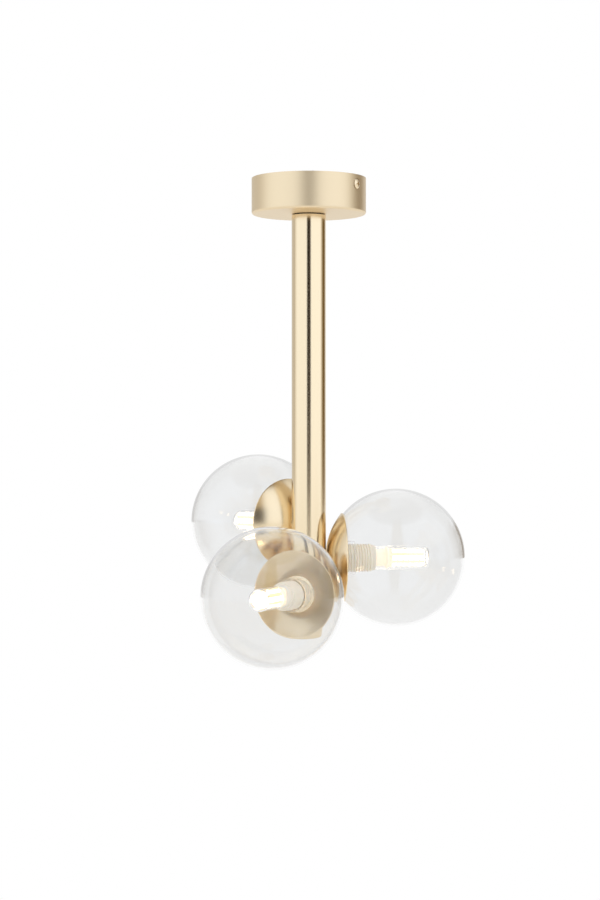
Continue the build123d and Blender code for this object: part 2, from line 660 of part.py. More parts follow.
def socket():
    """The ceramic socket: a recess for the bulb's stem, two pin slots and two wire holes."""
    body = rod_x(SOCKET_RADIUS, SOCKET_BACK, BARREL_FRONT)
    width = STEM_THICKNESS + 2 * RECESS_CLEARANCE
    height = STEM_WIDTH + 2 * RECESS_CLEARANCE
    recess = RectangleRounded(width, height, STEM_ROUND + RECESS_CLEARANCE)
    body -= across_x(recess, RECESS_FLOOR, SOCKET_RECESS)
    for side in (-1, 1):
        slot = Pos(0, side * PIN_SPACING / 2) * Rectangle(SLOT_WIDTH, SLOT_LENGTH)
        body -= across_x(slot, SLOT_FLOOR, SLOT_DEPTH)
        hole_radius = CONTACT_TAIL_RADIUS + SLIDE_CLEARANCE
        body -= rod_x(hole_radius, SOCKET_BACK, SLOT_FLOOR, 0, side * PIN_SPACING / 2)
    return body


def contacts():
    """Two folded contacts: leaves on each side of the pin, a web behind and a tail to the lead."""
    pair = []
    outer = SLOT_WIDTH / 2 - SLIDE_CLEARANCE
    web_start = SLOT_FLOOR + SLIDE_CLEARANCE
    for side in (-1, 1):
        middle = side * PIN_SPACING / 2
        height = (middle - CONTACT_WIDTH / 2, middle + CONTACT_WIDTH / 2)
        length = (web_start, web_start + CONTACT_LENGTH)
        folded = block(length, (-outer, outer), height)
        inner = outer - CONTACT_LEAF
        folded -= block((web_start + CONTACT_LEAF, length[1]), (-inner, inner), height)
        folded += rod_x(CONTACT_TAIL_RADIUS, SOCKET_BACK, web_start, 0, middle)
        pair.append(folded)
    return Compound(children=pair)


def bulb_base():
    """The bulb's base: flat stem, round collar with vents and a spigot inside the cover."""
    stem = RectangleRounded(STEM_THICKNESS, STEM_WIDTH, STEM_ROUND)
    body = across_x(stem, STEM_BACK, STEM_LENGTH + COLLAR_LENGTH)
    shoulder = COLLAR_BACK + COLLAR_SHOULDER
    spigot_radius = BULB_RADIUS - BULB_COVER_WALL - THREAD_CLEARANCE
    body += turned([
        (COLLAR_BACK, 0),
        (COLLAR_BACK, BULB_RADIUS - COLLAR_SHOULDER),
        (shoulder, BULB_RADIUS),
        (COLLAR_FRONT, BULB_RADIUS),
        (COLLAR_FRONT, spigot_radius),
        (CORE_BACK, spigot_radius),
        (CORE_BACK, 0),
    ])
    vent = Pos((shoulder + COLLAR_FRONT) / 2, 0, BULB_RADIUS) * Cylinder(VENT_RADIUS, BULB_COVER_WALL)
    for number in range(VENT_COUNT):
        body -= Rot(number * 360 / VENT_COUNT, 0, 0) * vent
    return body


def bulb_cover():
    """A clear capsule, open at the back, with a rounded front."""
    outer = rod_x(BULB_RADIUS, COLLAR_FRONT, BULB_TIP)
    outer = fillet(outer.edges().group_by(Axis.X)[-1], BULB_COVER_ROUND)
    inner = rod_x(BULB_RADIUS - BULB_COVER_WALL, COLLAR_FRONT, BULB_TIP - BULB_COVER_WALL)
    inner = fillet(inner.edges().group_by(Axis.X)[-1], BULB_COVER_ROUND - BULB_COVER_WALL)
    return outer - inner


def bulb_core():
    """A six-sided post with rows of light-emitting chips on its faces."""
    post = across_x(RegularPolygon(CORE_FLATS / 2, 6, major_radius=False), CORE_BACK, CORE_LENGTH)
    row_step = CORE_LENGTH / CHIP_ROWS
    for row in range(CHIP_ROWS):
        middle = CORE_BACK + (row + 0.5) * row_step
        x_range = (middle - CHIP_SIZE / 2, middle + CHIP_SIZE / 2)
        chip = block(x_range, (-CHIP_SIZE / 2, CHIP_SIZE / 2), (0, CORE_FLATS / 2 + CHIP_HEIGHT))
        for side in range(6):
            post += Rot(side * 60 + 30, 0, 0) * chip
    return post


def bulb_pins():
    """Two wire loops that reach back into the socket's slots."""
    pins = []
    half = PIN_LOOP_WIDTH / 2
    for side in (-1, 1):
        middle = side * PIN_SPACING / 2
        route = FilletPolyline(
            (STEM_BACK, 0, middle - half),
            (STEM_BACK - PIN_LENGTH + PIN_WIRE_RADIUS, 0, middle - half),
            (STEM_BACK - PIN_LENGTH + PIN_WIRE_RADIUS, 0, middle + half),
            (STEM_BACK, 0, middle + half),
            radius=PIN_LOOP_BEND,
        )
        section = Plane(route @ 0, z_dir=route % 0) * Circle(PIN_WIRE_RADIUS)
        pins.append(sweep(section, path=route))
    return Compound(children=pins)


def leads(lamp):
    """The lamp's two leads: socket, nipple, up the tube, top nipple, connector strip."""
    across = LEAD_RING_RADIUS * math.cos(math.radians(LEAD_HALF_ANGLE))
    beside = LEAD_RING_RADIUS * math.sin(math.radians(LEAD_HALF_ANGLE))
    nipple_end = BOSS_FACE - BOSS_LENGTH + LAMP_NIPPLE_LENGTH
    pair = []
    for side, pole, layer, turn_z in LEAD_RUNS[lamp]:
        riser = lamp_point(lamp, across, side * beside, 0)
        entry_z = POLE_Z + layer * LEAD_LAYER
        route = [
            lamp_point(lamp, SOCKET_BACK, 0, side * PIN_SPACING / 2),
            lamp_point(lamp, SOCKET_BACK - LEAD_STRAIGHT, 0, side * PIN_SPACING / 2),
            lamp_point(lamp, nipple_end, side * beside, side * beside),
            lamp_point(lamp, across, side * beside, side * beside),
            Vector(riser.X, riser.Y, turn_z),
            bracket_point(BLOCK_START - LEAD_APPROACH, pole_place(pole), entry_z),
            bracket_point(BLOCK_START + LEAD_ENTRY, pole_place(pole), entry_z),
        ]
        pair.append(wire(route, LEAD_RADIUS, "leads_" + lamp))
    return Compound(children=pair)


# ---------------------------------------------------------------- writing the pieces

def main():
    os.makedirs("parts", exist_ok=True)
    turn_to_screws = Rot(0, 0, SCREW_ANGLE)
    save(canopy(), "canopy")
    save(turn_to_screws * mounting_bracket(), "mounting_bracket")
    save(turn_to_screws * canopy_screw(), "canopy_screw_1")
    save(turn_to_screws * Rot(0, 0, 180) * canopy_screw(), "canopy_screw_2")
    save(turn_to_screws * terminal_block(), "terminal_block")
    save(turn_to_screws * terminal_tubes(), "terminal_tubes")
    save(turn_to_screws * terminal_screws(), "terminal_screws")
    save(turn_to_screws * block_screw(), "block_screw")
    save(turn_to_screws * earth_lug(), "earth_lug")
    save(turn_to_screws * earth_screw(), "earth_screw")
    save(earth_wire(), "earth_wire")
    save(top_nipple(), "top_nipple")
    save(canopy_washer(), "canopy_washer")
    save(canopy_locknut(), "canopy_locknut")
    save(tube_seat_washer(), "tube_seat_washer")
    save(tube_top_plug(), "tube_top_plug")
    save(tube(), "tube")
    save(tube_end_cap(), "tube_end_cap")
    lamp_pieces = {
        "boss": boss(),
        "cup": cup(),
        "globe": globe(),
        "barrel": barrel(),
        "socket": socket(),
        "contacts": contacts(),
        "bulb_base": bulb_base(),
        "bulb_cover": bulb_cover(),
        "bulb_core": bulb_core(),
        "bulb_pins": bulb_pins(),
    }
    for lamp in LAMPS:
        for name, piece in lamp_pieces.items():
            save(lamp_frame(lamp) * piece, name + "_" + lamp)
        save(leads(lamp), "leads_" + lamp)
    fastenings = {
        "lamp_nipples": lamp_nipple(),
        "holder_lock_washers": holder_lock_washer(),
        "holder_nuts": holder_nut(),
    }
    for name, piece in fastenings.items():
        save(Compound(children=[lamp_frame(lamp) * piece for lamp in LAMPS]), name)


main()
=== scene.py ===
import json
import math
import bmesh
import bpy
import numpy as np
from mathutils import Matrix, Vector


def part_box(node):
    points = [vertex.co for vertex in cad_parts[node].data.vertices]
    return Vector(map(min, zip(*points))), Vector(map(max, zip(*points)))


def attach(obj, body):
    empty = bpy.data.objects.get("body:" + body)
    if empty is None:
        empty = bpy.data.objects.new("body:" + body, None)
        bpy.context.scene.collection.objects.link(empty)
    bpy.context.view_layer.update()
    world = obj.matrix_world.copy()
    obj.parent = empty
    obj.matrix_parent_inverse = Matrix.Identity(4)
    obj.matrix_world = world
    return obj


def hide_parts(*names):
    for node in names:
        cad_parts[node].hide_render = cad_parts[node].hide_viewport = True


# Semi flush ceiling light in brass with three clear globes. Lengths are in millimetres until a mesh is
# made, and metres in Blender. The shapes repeat the sizes of the solids that they stand for.

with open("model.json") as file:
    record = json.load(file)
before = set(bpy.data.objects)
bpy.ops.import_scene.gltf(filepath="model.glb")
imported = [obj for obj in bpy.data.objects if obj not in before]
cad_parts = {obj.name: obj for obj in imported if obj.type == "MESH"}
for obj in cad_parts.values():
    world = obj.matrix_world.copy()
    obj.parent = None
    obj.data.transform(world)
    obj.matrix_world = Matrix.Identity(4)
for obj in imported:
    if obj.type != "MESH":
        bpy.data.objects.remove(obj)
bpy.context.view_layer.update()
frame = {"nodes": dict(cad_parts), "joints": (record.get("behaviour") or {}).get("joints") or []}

MM = 0.001
LAMPS = ("back", "right", "front")

# ---------------------------------------------------------------- sizes

CANOPY_RADIUS = 50.0
CANOPY_HEIGHT = 31.5
CANOPY_WALL = 1.2
CANOPY_EDGE_ROUND = 2.0
CANOPY_HOLE_RADIUS = 4.8
SCREW_DROP = 8.4

TUBE_RADIUS = 15.0
TUBE_WALL = 1.5
END_CAP_THICKNESS = 1.2
END_CAP_SPIGOT = 6.0
SLIDE_CLEARANCE = 0.1
THREAD_CLEARANCE = 0.05
NIPPLE_HOLE_RADIUS = 5.0 + THREAD_CLEARANCE

BOSS_RADIUS = 8.0
BOSS_FACE = 15.8
BOSS_LENGTH = 6.3
BOSS_EDGE = 0.25

CUP_WALL = 1.0
CUP_RIM_RADIUS = 38.7
CUP_SEAT_RADIUS = 9.3
GLOBE_CUP_GAP = 0.4

GLOBE_RADIUS = 60.5
GLOBE_WALL = 1.8
NECK_BORE_RADIUS = 12.9
NECK_WALL = 1.9
NECK_DEPTH = 24.0
NECK_FLARE = 6.0
NECK_LIP = 0.8
GLOBE_BACK_ROUND = 1.5

BARREL_LENGTH = 41.6
BARREL_BACK = 3.0
BARREL_PAD_RADIUS = 9.0
BARREL_PAD_BEVEL = 1.2
THREAD_RADIUS = 12.3
THREAD_DEPTH = 0.8
THREAD_PITCH = 2.4
THREAD_START = 3.6
THREAD_RUN_OUT = 2.0
BARREL_BORE_RADIUS = 9.6
BARREL_NOSE_RADIUS = 11.0
BARREL_NOSE_LENGTH = 2.8
BARREL_NOSE_ROUND = 1.0
SOCKET_RECESS = 5.2
RECESS_CLEARANCE = 0.3

BULB_RADIUS = 9.5
BULB_LENGTH = 52.0
BULB_COVER_WALL = 0.8
BULB_COVER_ROUND = 3.0
STEM_LENGTH = 13.2
COLLAR_LENGTH = 3.2
COLLAR_SPIGOT = 3.0
CORE_FLATS = 12.4
CORE_TIP_CLEARANCE = 3.2
CHIP_SIZE = 3.6
CHIP_HEIGHT = 0.7
CHIP_ROWS = 6

# Places worked out from them, along a lamp's axis from the tube's axis
CUP_INNER_RADIUS = GLOBE_RADIUS + GLOBE_CUP_GAP
CUP_OUTER_RADIUS = CUP_INNER_RADIUS + CUP_WALL
GLOBE_CENTRE = BOSS_FACE + math.sqrt(CUP_OUTER_RADIUS**2 - CUP_SEAT_RADIUS**2)
HOLDER_SEAT = BOSS_FACE + CUP_WALL
BARREL_FRONT = HOLDER_SEAT + BARREL_LENGTH
STEM_BACK = BARREL_FRONT - SOCKET_RECESS + RECESS_CLEARANCE
COLLAR_FRONT = STEM_BACK + STEM_LENGTH + COLLAR_LENGTH
BULB_TIP = STEM_BACK + BULB_LENGTH
CORE_BACK = COLLAR_FRONT + COLLAR_SPIGOT
CORE_FRONT = BULB_TIP - BULB_COVER_WALL - CORE_TIP_CLEARANCE

# How finely the surfaces are divided
ROUND_STEPS = 192
FINE_STEPS = 8
GLOBE_STEPS = 150
GLOBE_ROUND_STEPS = 256
CANOPY_SIDE_STEPS = 28
TUBE_PLAIN_ROWS = 32
SHARP_ANGLE = math.radians(32)
SAME_POINT = 1e-6
MERGE_DISTANCE = 1e-7

# How much wider and higher than a hole the patch is that is left out of the grid for it
PATCH_WIDTH = 1.25
PATCH_HEIGHT = 1.3

# How the lay counts millimetres
LAY_SCALE = 0.1

# Where the photograph was taken from, in degrees and metres
CAMERA_AZIMUTH = -6.2
CAMERA_DISTANCE = 1.75
CAMERA_SIDESTEP = -0.0077
CAMERA_HEIGHT = -0.2375
CAMERA_LENS = 80.0

# The floor, in metres: how far below the ceiling it is, and from where to where its shadow fades to white
FLOOR_HEIGHT = -0.75
FLOOR_SIZE = 24.0
FLOOR_COLOR = (0.88, 0.88, 0.88, 1)
FLOOR_ROUGHNESS = 0.9
FLOOR_FADE = (0.15, 0.5)
FLOOR_WHITE_NEAR = 0.3
FLOOR_WHITE_MORE = 0.7


# ---------------------------------------------------------------- outlines

def arc(centre, radius, start, end, steps):
    """Points centre + radius·(cos a, sin a), with a going evenly from start to end, in degrees."""
    a = np.radians(np.linspace(start, end, steps + 1))
    return np.column_stack([centre[0] + radius * np.cos(a), centre[1] + radius * np.sin(a)])


def straight(start, end, steps):
    """Points on the line from start to end, both counted."""
    share = np.linspace(0, 1, steps + 1)[:, None]
    return np.array(start) * (1 - share) + np.array(end) * share


def joined(*pieces):
    """Stretches of an outline end to end, without the points that are there twice."""
    points = np.vstack(pieces)
    keep = np.r_[True, np.linalg.norm(np.diff(points, axis=0), axis=1) > SAME_POINT]
    return points[keep]


def direction_of(point, centre):
    """The angle in degrees at which a point lies round a centre."""
    return math.degrees(math.atan2(point[1] - centre[1], point[0] - centre[0]))


def corner_arc(centre, radius, start, end, steps=FINE_STEPS):
    """The short arc round a centre from one tangent point to another."""
    first = direction_of(start, centre)
    last = direction_of(end, centre)
    turn = (last - first + 180) % 360 - 180
    return arc(centre, radius, first, first + turn, steps)


# ---------------------------------------------------------------- surfaces

def grid_faces(rows, columns, close_rows=False):
    """Each point (i, j) of a grid joined to its neighbours (i + 1, j) and (i, j + 1). The columns close."""
    i, j = np.meshgrid(np.arange(rows if close_rows else rows - 1), np.arange(columns), indexing="ij")
    below = (i + 1) % rows
    beside = (j + 1) % columns
    corners = [i * columns + j, i * columns + beside, below * columns + beside, below * columns + j]
    return np.stack(corners, axis=-1).reshape(-1, 4)


def make_piece(name, points, faces, material, lay=None):
    """A mesh from points in millimetres and four-cornered faces: doubles merged, sharp corners kept."""
    mesh = bpy.data.meshes.new(name)
    mesh.from_pydata((points * MM).tolist(), [], faces.tolist())
    if lay is not None:
        attribute = mesh.attributes.new("lay", "FLOAT_VECTOR", "POINT")
        attribute.data.foreach_set("vector", lay.astype(np.float32).ravel())
    merge_poles(mesh)
    mesh.polygons.foreach_set("use_smooth", [True] * len(mesh.polygons))
    mesh.set_sharp_from_angle(angle=SHARP_ANGLE)
    mesh.materials.append(material)
    piece = bpy.data.objects.new(name, mesh)
    bpy.context.scene.collection.objects.link(piece)
    return piece


def merge_poles(mesh):
    """Points at the same place, such as a pole's, become one."""
    work = bmesh.new()
    work.from_mesh(mesh)
    bmesh.ops.remove_doubles(work, verts=work.verts, dist=MERGE_DISTANCE)
    work.to_mesh(mesh)
    work.free()


def turned(outline, closed, steps=ROUND_STEPS, radius_change=None):
    """Each outline point (along, radius) goes round the X axis: (along, radius·cos t, radius·sin t).

    radius_change, if given, is an array of the same grid that is added to the radius. Returns the points,
    the faces, and the lay: where each point is round the axis and how far along the outline, for finishes.
    """
    t = np.linspace(0, 2 * math.pi, steps, endpoint=False)
    along = np.repeat(outline[:, :1], steps, axis=1)
    radius = np.repeat(outline[:, 1:], steps, axis=1)
    if radius_change is not None:
        radius = radius + radius_change
    points = np.stack([along, radius * np.cos(t), radius * np.sin(t)], axis=-1).reshape(-1, 3)
    run = np.r_[0, np.cumsum(np.linalg.norm(np.diff(outline, axis=0), axis=1))]
    lay = np.stack(np.broadcast_arrays(np.cos(t), np.sin(t), run[:, None] * LAY_SCALE), axis=-1)
    return points, grid_faces(len(outline), steps, closed), lay.reshape(-1, 3)


def upright(points):
    """Turns (along, across, side) round so that along is Z."""
    return points[:, [1, 2, 0]]


def hole_patches(outer, inner_radius, holes, steps):
    """For each hole, the patch of the grid that is left out round it: which faces stay, and a row per hole with
    its (angle, z, radius) and the patch's edge loop."""
    keep = np.ones((len(outer) - 1, steps), bool)
    patches = []
    for angle, z, hole_radius in holes:
        reach = math.asin(hole_radius / inner_radius) * PATCH_WIDTH
        middle = round(angle / (2 * math.pi) * steps)
        half = math.ceil(reach / (2 * math.pi) * steps)
        columns = np.arange(middle - half, middle + half + 1) % steps
        inside = np.flatnonzero(np.abs(outer[:, 0] - z) <= hole_radius * PATCH_HEIGHT)
        inside = inside[outer[inside, 1] == outer[0, 1]]
        keep[np.ix_(inside[:-1], columns[:-1])] = False
        loop = np.concatenate([
            inside[0] * steps + columns[:-1],
            inside[:-1] * steps + columns[-1],
            inside[-1] * steps + columns[:0:-1],
            inside[:0:-1] * steps + columns[0],
        ])
        patches.append((angle, z, hole_radius, loop))
    return keep.ravel(), patches


def hole_rings(skin, radius, patch, start, count):
    """Rings from a patch's edge loop in to its hole, each a mix of the two, on a skin of the given radius whose
    first point has the number start. The rings' points are numbered from count. Returns the points, the faces
    between the rings, and the hole's own ring."""
    angle, z, hole_radius, loop = patch
    turn = (np.arctan2(skin[loop, 1], skin[loop, 0]) - angle + math.pi) % (2 * math.pi) - math.pi
    rise = skin[loop, 2] - z
    round_angle = np.arctan2(rise, turn * radius)
    hole_turn = np.arcsin(hole_radius * np.cos(round_angle) / radius)
    hole_rise = hole_radius * np.sin(round_angle)
    last = loop + start
    points = []
    faces = []
    for share in np.linspace(0, 1, FINE_STEPS + 1)[1:]:
        ring_turn = turn + (hole_turn - turn) * share + angle
        ring_rise = rise + (hole_rise - rise) * share + z
        points.append(np.stack([radius * np.cos(ring_turn), radius * np.sin(ring_turn), ring_rise], axis=-1))
        ring = count + np.arange(len(loop))
        count += len(loop)
        faces.append(ribbon(last, ring))
        last = ring
    return np.vstack(points), np.vstack(faces), last


def drilled_shell(outer, inner, holes, steps=ROUND_STEPS):
    """A wall between two turned outlines of (z, radius) points, with round holes drilled through it.

    Both skins are grids round the Z axis. For a hole, a patch of the grid is left out, and rings run from
    its edge loop in to the hole, each a mix of the two. The hole's points lie at angle asin(side/radius).
    holes holds (angle in radians, z, hole radius) rows.
    """
    t = np.linspace(0, 2 * math.pi, steps, endpoint=False)
    grid = grid_faces(len(outer), steps)
    keep, patches = hole_patches(outer, inner[0, 1], holes, steps)
    points = np.empty((0, 3))
    faces = []
    hole_edges = []
    ends = []
    for outline, order in ((outer, 1), (inner, -1)):
        z = np.repeat(outline[:, :1], steps, axis=1)
        radius = outline[:, 1:]
        skin = np.stack([radius * np.cos(t), radius * np.sin(t), z], axis=-1).reshape(-1, 3)
        start = len(points)
        points = np.vstack([points, skin])
        faces.append((grid[keep] + start)[:, ::order])
        hole_edges.append([])
        for patch in patches:
            ring_points, ring_faces, hole_edge = hole_rings(skin, outline[0, 1], patch, start, len(points))
            points = np.vstack([points, ring_points])
            faces.append(ring_faces[:, ::order])
            hole_edges[-1].append(hole_edge)
        first = start + np.arange(steps)
        ends.append((first, first + (len(outline) - 1) * steps))
    faces += [ribbon(one, other) for one, other in zip(*hole_edges)]
    faces.append(ribbon(ends[1][0], ends[0][0]))
    faces.append(ribbon(ends[0][1], ends[1][1]))
    distance = np.linalg.norm(points[:, :2], axis=1)
    lay = np.column_stack([points[:, :2] / distance[:, None], (points[:, 2] - distance) * LAY_SCALE])
    return points, np.vstack(faces), lay


def ribbon(one, other):
    """Faces between two closed loops of the same number of points."""
    return np.stack([one, np.roll(one, -1), np.roll(other, -1), other], axis=-1)


# ---------------------------------------------------------------- places

def lamp_place(lamp):
    """A lamp's direction round the tube, in radians, and its height in millimetres, read from the frame."""
    joint = next(j for j in frame["joints"] if j["child"] == "globe_" + lamp)
    low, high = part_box("globe_" + lamp)
    return math.atan2(joint["axis"][1], joint["axis"][0]), (low.z + high.z) / 2 / MM


def at_lamp(points, lamp):
    """From the lamp's own frame, X along its axis, to the light's frame: a turn about Z and a drop."""
    angle, height = lamp_place(lamp)
    c, s = math.cos(angle), math.sin(angle)
    x, y, z = points.T
    return np.column_stack([c * x - s * y, s * x + c * y, z + height])


# ---------------------------------------------------------------- finishes

def new_group(name, inputs, outputs):
    """An empty shader group with its sockets, and its input and output nodes."""
    tree = bpy.data.node_groups.new(name, "ShaderNodeTree")
    for label, kind, value in inputs:
        socket = tree.interface.new_socket(name=label, in_out="INPUT", socket_type=kind)
        if value is not None:
            socket.default_value = value
    for label, kind in outputs:
        tree.interface.new_socket(name=label, in_out="OUTPUT", socket_type=kind)
    return tree, tree.nodes.new("NodeGroupInput"), tree.nodes.new("NodeGroupOutput")


def math_node(tree, operation, one, other=None, clamp=False):
    """A Math node whose inputs are sockets or numbers."""
    node = tree.nodes.new("ShaderNodeMath")
    node.operation = operation
    node.use_clamp = clamp
    for socket, value in zip(node.inputs, (one, other)):
        if isinstance(value, bpy.types.NodeSocket):
            tree.links.new(value, socket)
        elif value is not None:
            socket.default_value = value
    return node.outputs[0]


def noise_node(tree, coordinates, scale, detail=3.0, rough=0.5):
    """A Noise Texture's value. Its scale is a socket or a number."""
    node = tree.nodes.new("ShaderNodeTexNoise")
    tree.links.new(coordinates, node.inputs["Vector"])
    if isinstance(scale, bpy.types.NodeSocket):
        tree.links.new(scale, node.inputs["Scale"])
    else:
        node.inputs["Scale"].default_value = scale
    node.inputs["Detail"].default_value = detail
    node.inputs["Roughness"].default_value = rough
    return node.outputs["Fac"]


def stretched(tree, coordinates, scale):
    """Coordinates with each axis multiplied by its own number."""
    node = tree.nodes.new("ShaderNodeVectorMath")
    node.operation = "MULTIPLY"
    tree.links.new(coordinates, node.inputs[0])
    node.inputs[1].default_value = scale
    return node.outputs[0]


def mix_color(tree, share, one, other):
    """A Mix node for colours: one where share is 0, and other where it is 1. Each is a socket or a value."""
    node = tree.nodes.new("ShaderNodeMix")
    node.data_type = "RGBA"
    for label, value in (("Factor", share), ("A", one), ("B", other)):
        sockets = [s for s in node.inputs if s.name == label and s.type in ("RGBA", "VALUE")]
        socket = sockets[-1] if label != "Factor" else sockets[0]
        if isinstance(value, bpy.types.NodeSocket):
            tree.links.new(value, socket)
        else:
            socket.default_value = value
    return next(s for s in node.outputs if s.type == "RGBA")


def worked_metal_group():
    """Fine lines left by the tool, with slow changes of tone: a colour, a roughness and a height."""
    tree, start, end = new_group(
        "worked_metal",
        [
            ("Coordinates", "NodeSocketVector", None),
            ("Line Scale", "NodeSocketFloat", 60.0),
            ("Tone Scale", "NodeSocketFloat", 2.0),
            ("Color", "NodeSocketColor", (0.8, 0.8, 0.8, 1)),
            ("Deep Color", "NodeSocketColor", (0.6, 0.6, 0.6, 1)),
            ("Roughness", "NodeSocketFloat", 0.25),
            ("Roughness Change", "NodeSocketFloat", 0.1),
        ],
        [("Color", "NodeSocketColor"), ("Roughness", "NodeSocketFloat"), ("Height", "NodeSocketFloat")],
    )
    lines_share, tone_share = 0.45, 0.55
    lines = noise_node(tree, start.outputs["Coordinates"], start.outputs["Line Scale"], 2.0)
    tone = noise_node(tree, start.outputs["Coordinates"], start.outputs["Tone Scale"], 4.0, 0.6)
    lines_part = math_node(tree, "MULTIPLY", lines, lines_share)
    tone_part = math_node(tree, "MULTIPLY", tone, tone_share)
    blend = math_node(tree, "ADD", lines_part, tone_part)
    color = mix_color(tree, blend, start.outputs["Deep Color"], start.outputs["Color"])
    off_middle = math_node(tree, "SUBTRACT", blend, 0.5)
    change = math_node(tree, "MULTIPLY", off_middle, start.outputs["Roughness Change"])
    tree.links.new(color, end.inputs["Color"])
    tree.links.new(math_node(tree, "ADD", start.outputs["Roughness"], change), end.inputs["Roughness"])
    tree.links.new(lines, end.inputs["Height"])
    return tree


def moulded_group():
    """A moulded or glazed skin: slight mottling in colour and gloss, and a faint orange peel."""
    tree, start, end = new_group(
        "moulded_skin",
        [
            ("Coordinates", "NodeSocketVector", None),
            ("Grain Scale", "NodeSocketFloat", 900.0),
            ("Color", "NodeSocketColor", (0.8, 0.8, 0.8, 1)),
            ("Deep Color", "NodeSocketColor", (0.6, 0.6, 0.6, 1)),
            ("Roughness", "NodeSocketFloat", 0.4),
            ("Roughness Change", "NodeSocketFloat", 0.1),
        ],
        [("Color", "NodeSocketColor"), ("Roughness", "NodeSocketFloat"), ("Height", "NodeSocketFloat")],
    )
    mottle_scale = math_node(tree, "MULTIPLY", start.outputs["Grain Scale"], 0.08)
    grain = noise_node(tree, start.outputs["Coordinates"], start.outputs["Grain Scale"], 3.0)
    mottle = noise_node(tree, start.outputs["Coordinates"], mottle_scale)
    color = mix_color(tree, mottle, start.outputs["Deep Color"], start.outputs["Color"])
    off_middle = math_node(tree, "SUBTRACT", grain, 0.5)
    change = math_node(tree, "MULTIPLY", off_middle, start.outputs["Roughness Change"])
    tree.links.new(color, end.inputs["Color"])
    tree.links.new(math_node(tree, "ADD", start.outputs["Roughness"], change), end.inputs["Roughness"])
    tree.links.new(grain, end.inputs["Height"])
    return tree


WORKED_METAL = worked_metal_group()
MOULDED_SKIN = moulded_group()

BUMP_DISTANCE = 0.0001
SUBSURFACE_RADIUS = (0.004, 0.003, 0.002)
GLASS_IOR = 1.48
GLASS_GRAIN_SCALE = 60.0


def new_material(name):
    """A material with its shader, and the shader's tree."""
    material = bpy.data.materials.new(name)
    material.use_nodes = True
    tree = material.node_tree
    return material, tree, tree.nodes["Principled BSDF"]


def object_coordinates(tree):
    """The place in metres. As every new piece stands at the origin, it doesn't move with the pieces."""
    return tree.nodes.new("ShaderNodeTexCoord").outputs["Object"]


def lay_coordinates(tree):
    """The lay that a piece's own points hold: where a point is round the axis and how far along."""
    node = tree.nodes.new("ShaderNodeAttribute")
    node.attribute_name = "lay"
    return node.outputs["Vector"]


def place_group(tree, shader, group, values, coordinates, bump):
    """A group in a material: its values set, and its outputs led to the shader."""
    node = tree.nodes.new("ShaderNodeGroup")
    node.node_tree = group
    for label, value in values.items():
        node.inputs[label].default_value = value
    tree.links.new(coordinates, node.inputs["Coordinates"])
    tree.links.new(node.outputs["Color"], shader.inputs["Base Color"])
    tree.links.new(node.outputs["Roughness"], shader.inputs["Roughness"])
    if bump:
        relief = tree.nodes.new("ShaderNodeBump")
        relief.inputs["Strength"].default_value = bump
        relief.inputs["Distance"].default_value = BUMP_DISTANCE
        tree.links.new(node.outputs["Height"], relief.inputs["Height"])
        tree.links.new(relief.outputs["Normal"], shader.inputs["Normal"])
    return node


def metal(name, color, deep, roughness, change, line_scale, tone_scale, stretch, bump, follows_lay=False):
    """A metal whose tool lines run where the stretch is small."""
    material, tree, shader = new_material(name)
    shader.inputs["Metallic"].default_value = 1.0
    source = lay_coordinates(tree) if follows_lay else object_coordinates(tree)
    values = {
        "Line Scale": line_scale,
        "Tone Scale": tone_scale,
        "Color": (*color, 1),
        "Deep Color": (*deep, 1),
        "Roughness": roughness,
        "Roughness Change": change,
    }
    place_group(tree, shader, WORKED_METAL, values, stretched(tree, source, stretch), bump)
    return material


def moulded(name, color, deep, roughness, change, grain_scale=900.0, bump=0.1, subsurface=0.0, lit=0.0):
    """A plastic, rubber or glazed finish. lit is the strength of a painted glow in the skin's own colour, which
    stands for the light of a lamp beside it coming through it.
    """
    material, tree, shader = new_material(name)
    values = {
        "Grain Scale": grain_scale,
        "Color": (*color, 1),
        "Deep Color": (*deep, 1),
        "Roughness": roughness,
        "Roughness Change": change,
    }
    skin = place_group(tree, shader, MOULDED_SKIN, values, object_coordinates(tree), bump)
    # Painted glow: the skin gives off light in its own colour, standing in for a nearby lamp's light coming
    # through the plastic.
    if lit:
        tree.links.new(skin.outputs["Color"], shader.inputs["Emission Color"])
        shader.inputs["Emission Strength"].default_value = lit
    if subsurface:
        shader.inputs["Subsurface Weight"].default_value = subsurface
        shader.inputs["Subsurface Radius"].default_value = SUBSURFACE_RADIUS
        shader.inputs["Subsurface Scale"].default_value = 1.0
    return material


def blown_glass(name, color, deep, roughness):
    """Clear glass with a faint change of tint. Shadow rays and mirrored rays go straight through it, so that
    what is inside the glass is lit."""
    material, tree, shader = new_material(name)
    shader.inputs["Transmission Weight"].default_value = 1.0
    shader.inputs["IOR"].default_value = GLASS_IOR
    values = {
        "Grain Scale": GLASS_GRAIN_SCALE,
        "Color": (*color, 1),
        "Deep Color": (*deep, 1),
        "Roughness": roughness,
        "Roughness Change": roughness,
    }
    place_group(tree, shader, MOULDED_SKIN, values, object_coordinates(tree), 0.0)
    path = tree.nodes.new("ShaderNodeLightPath")
    onward = math_node(tree, "MAXIMUM", path.outputs["Is Shadow Ray"], path.outputs["Is Reflection Ray"])
    mix = tree.nodes.new("ShaderNodeMixShader")
    tree.links.new(onward, mix.inputs["Fac"])
    tree.links.new(shader.outputs["BSDF"], mix.inputs[1])
    tree.links.new(tree.nodes.new("ShaderNodeBsdfTransparent").outputs["BSDF"], mix.inputs[2])
    tree.links.new(mix.outputs["Shader"], tree.nodes["Material Output"].inputs["Surface"])
    return material


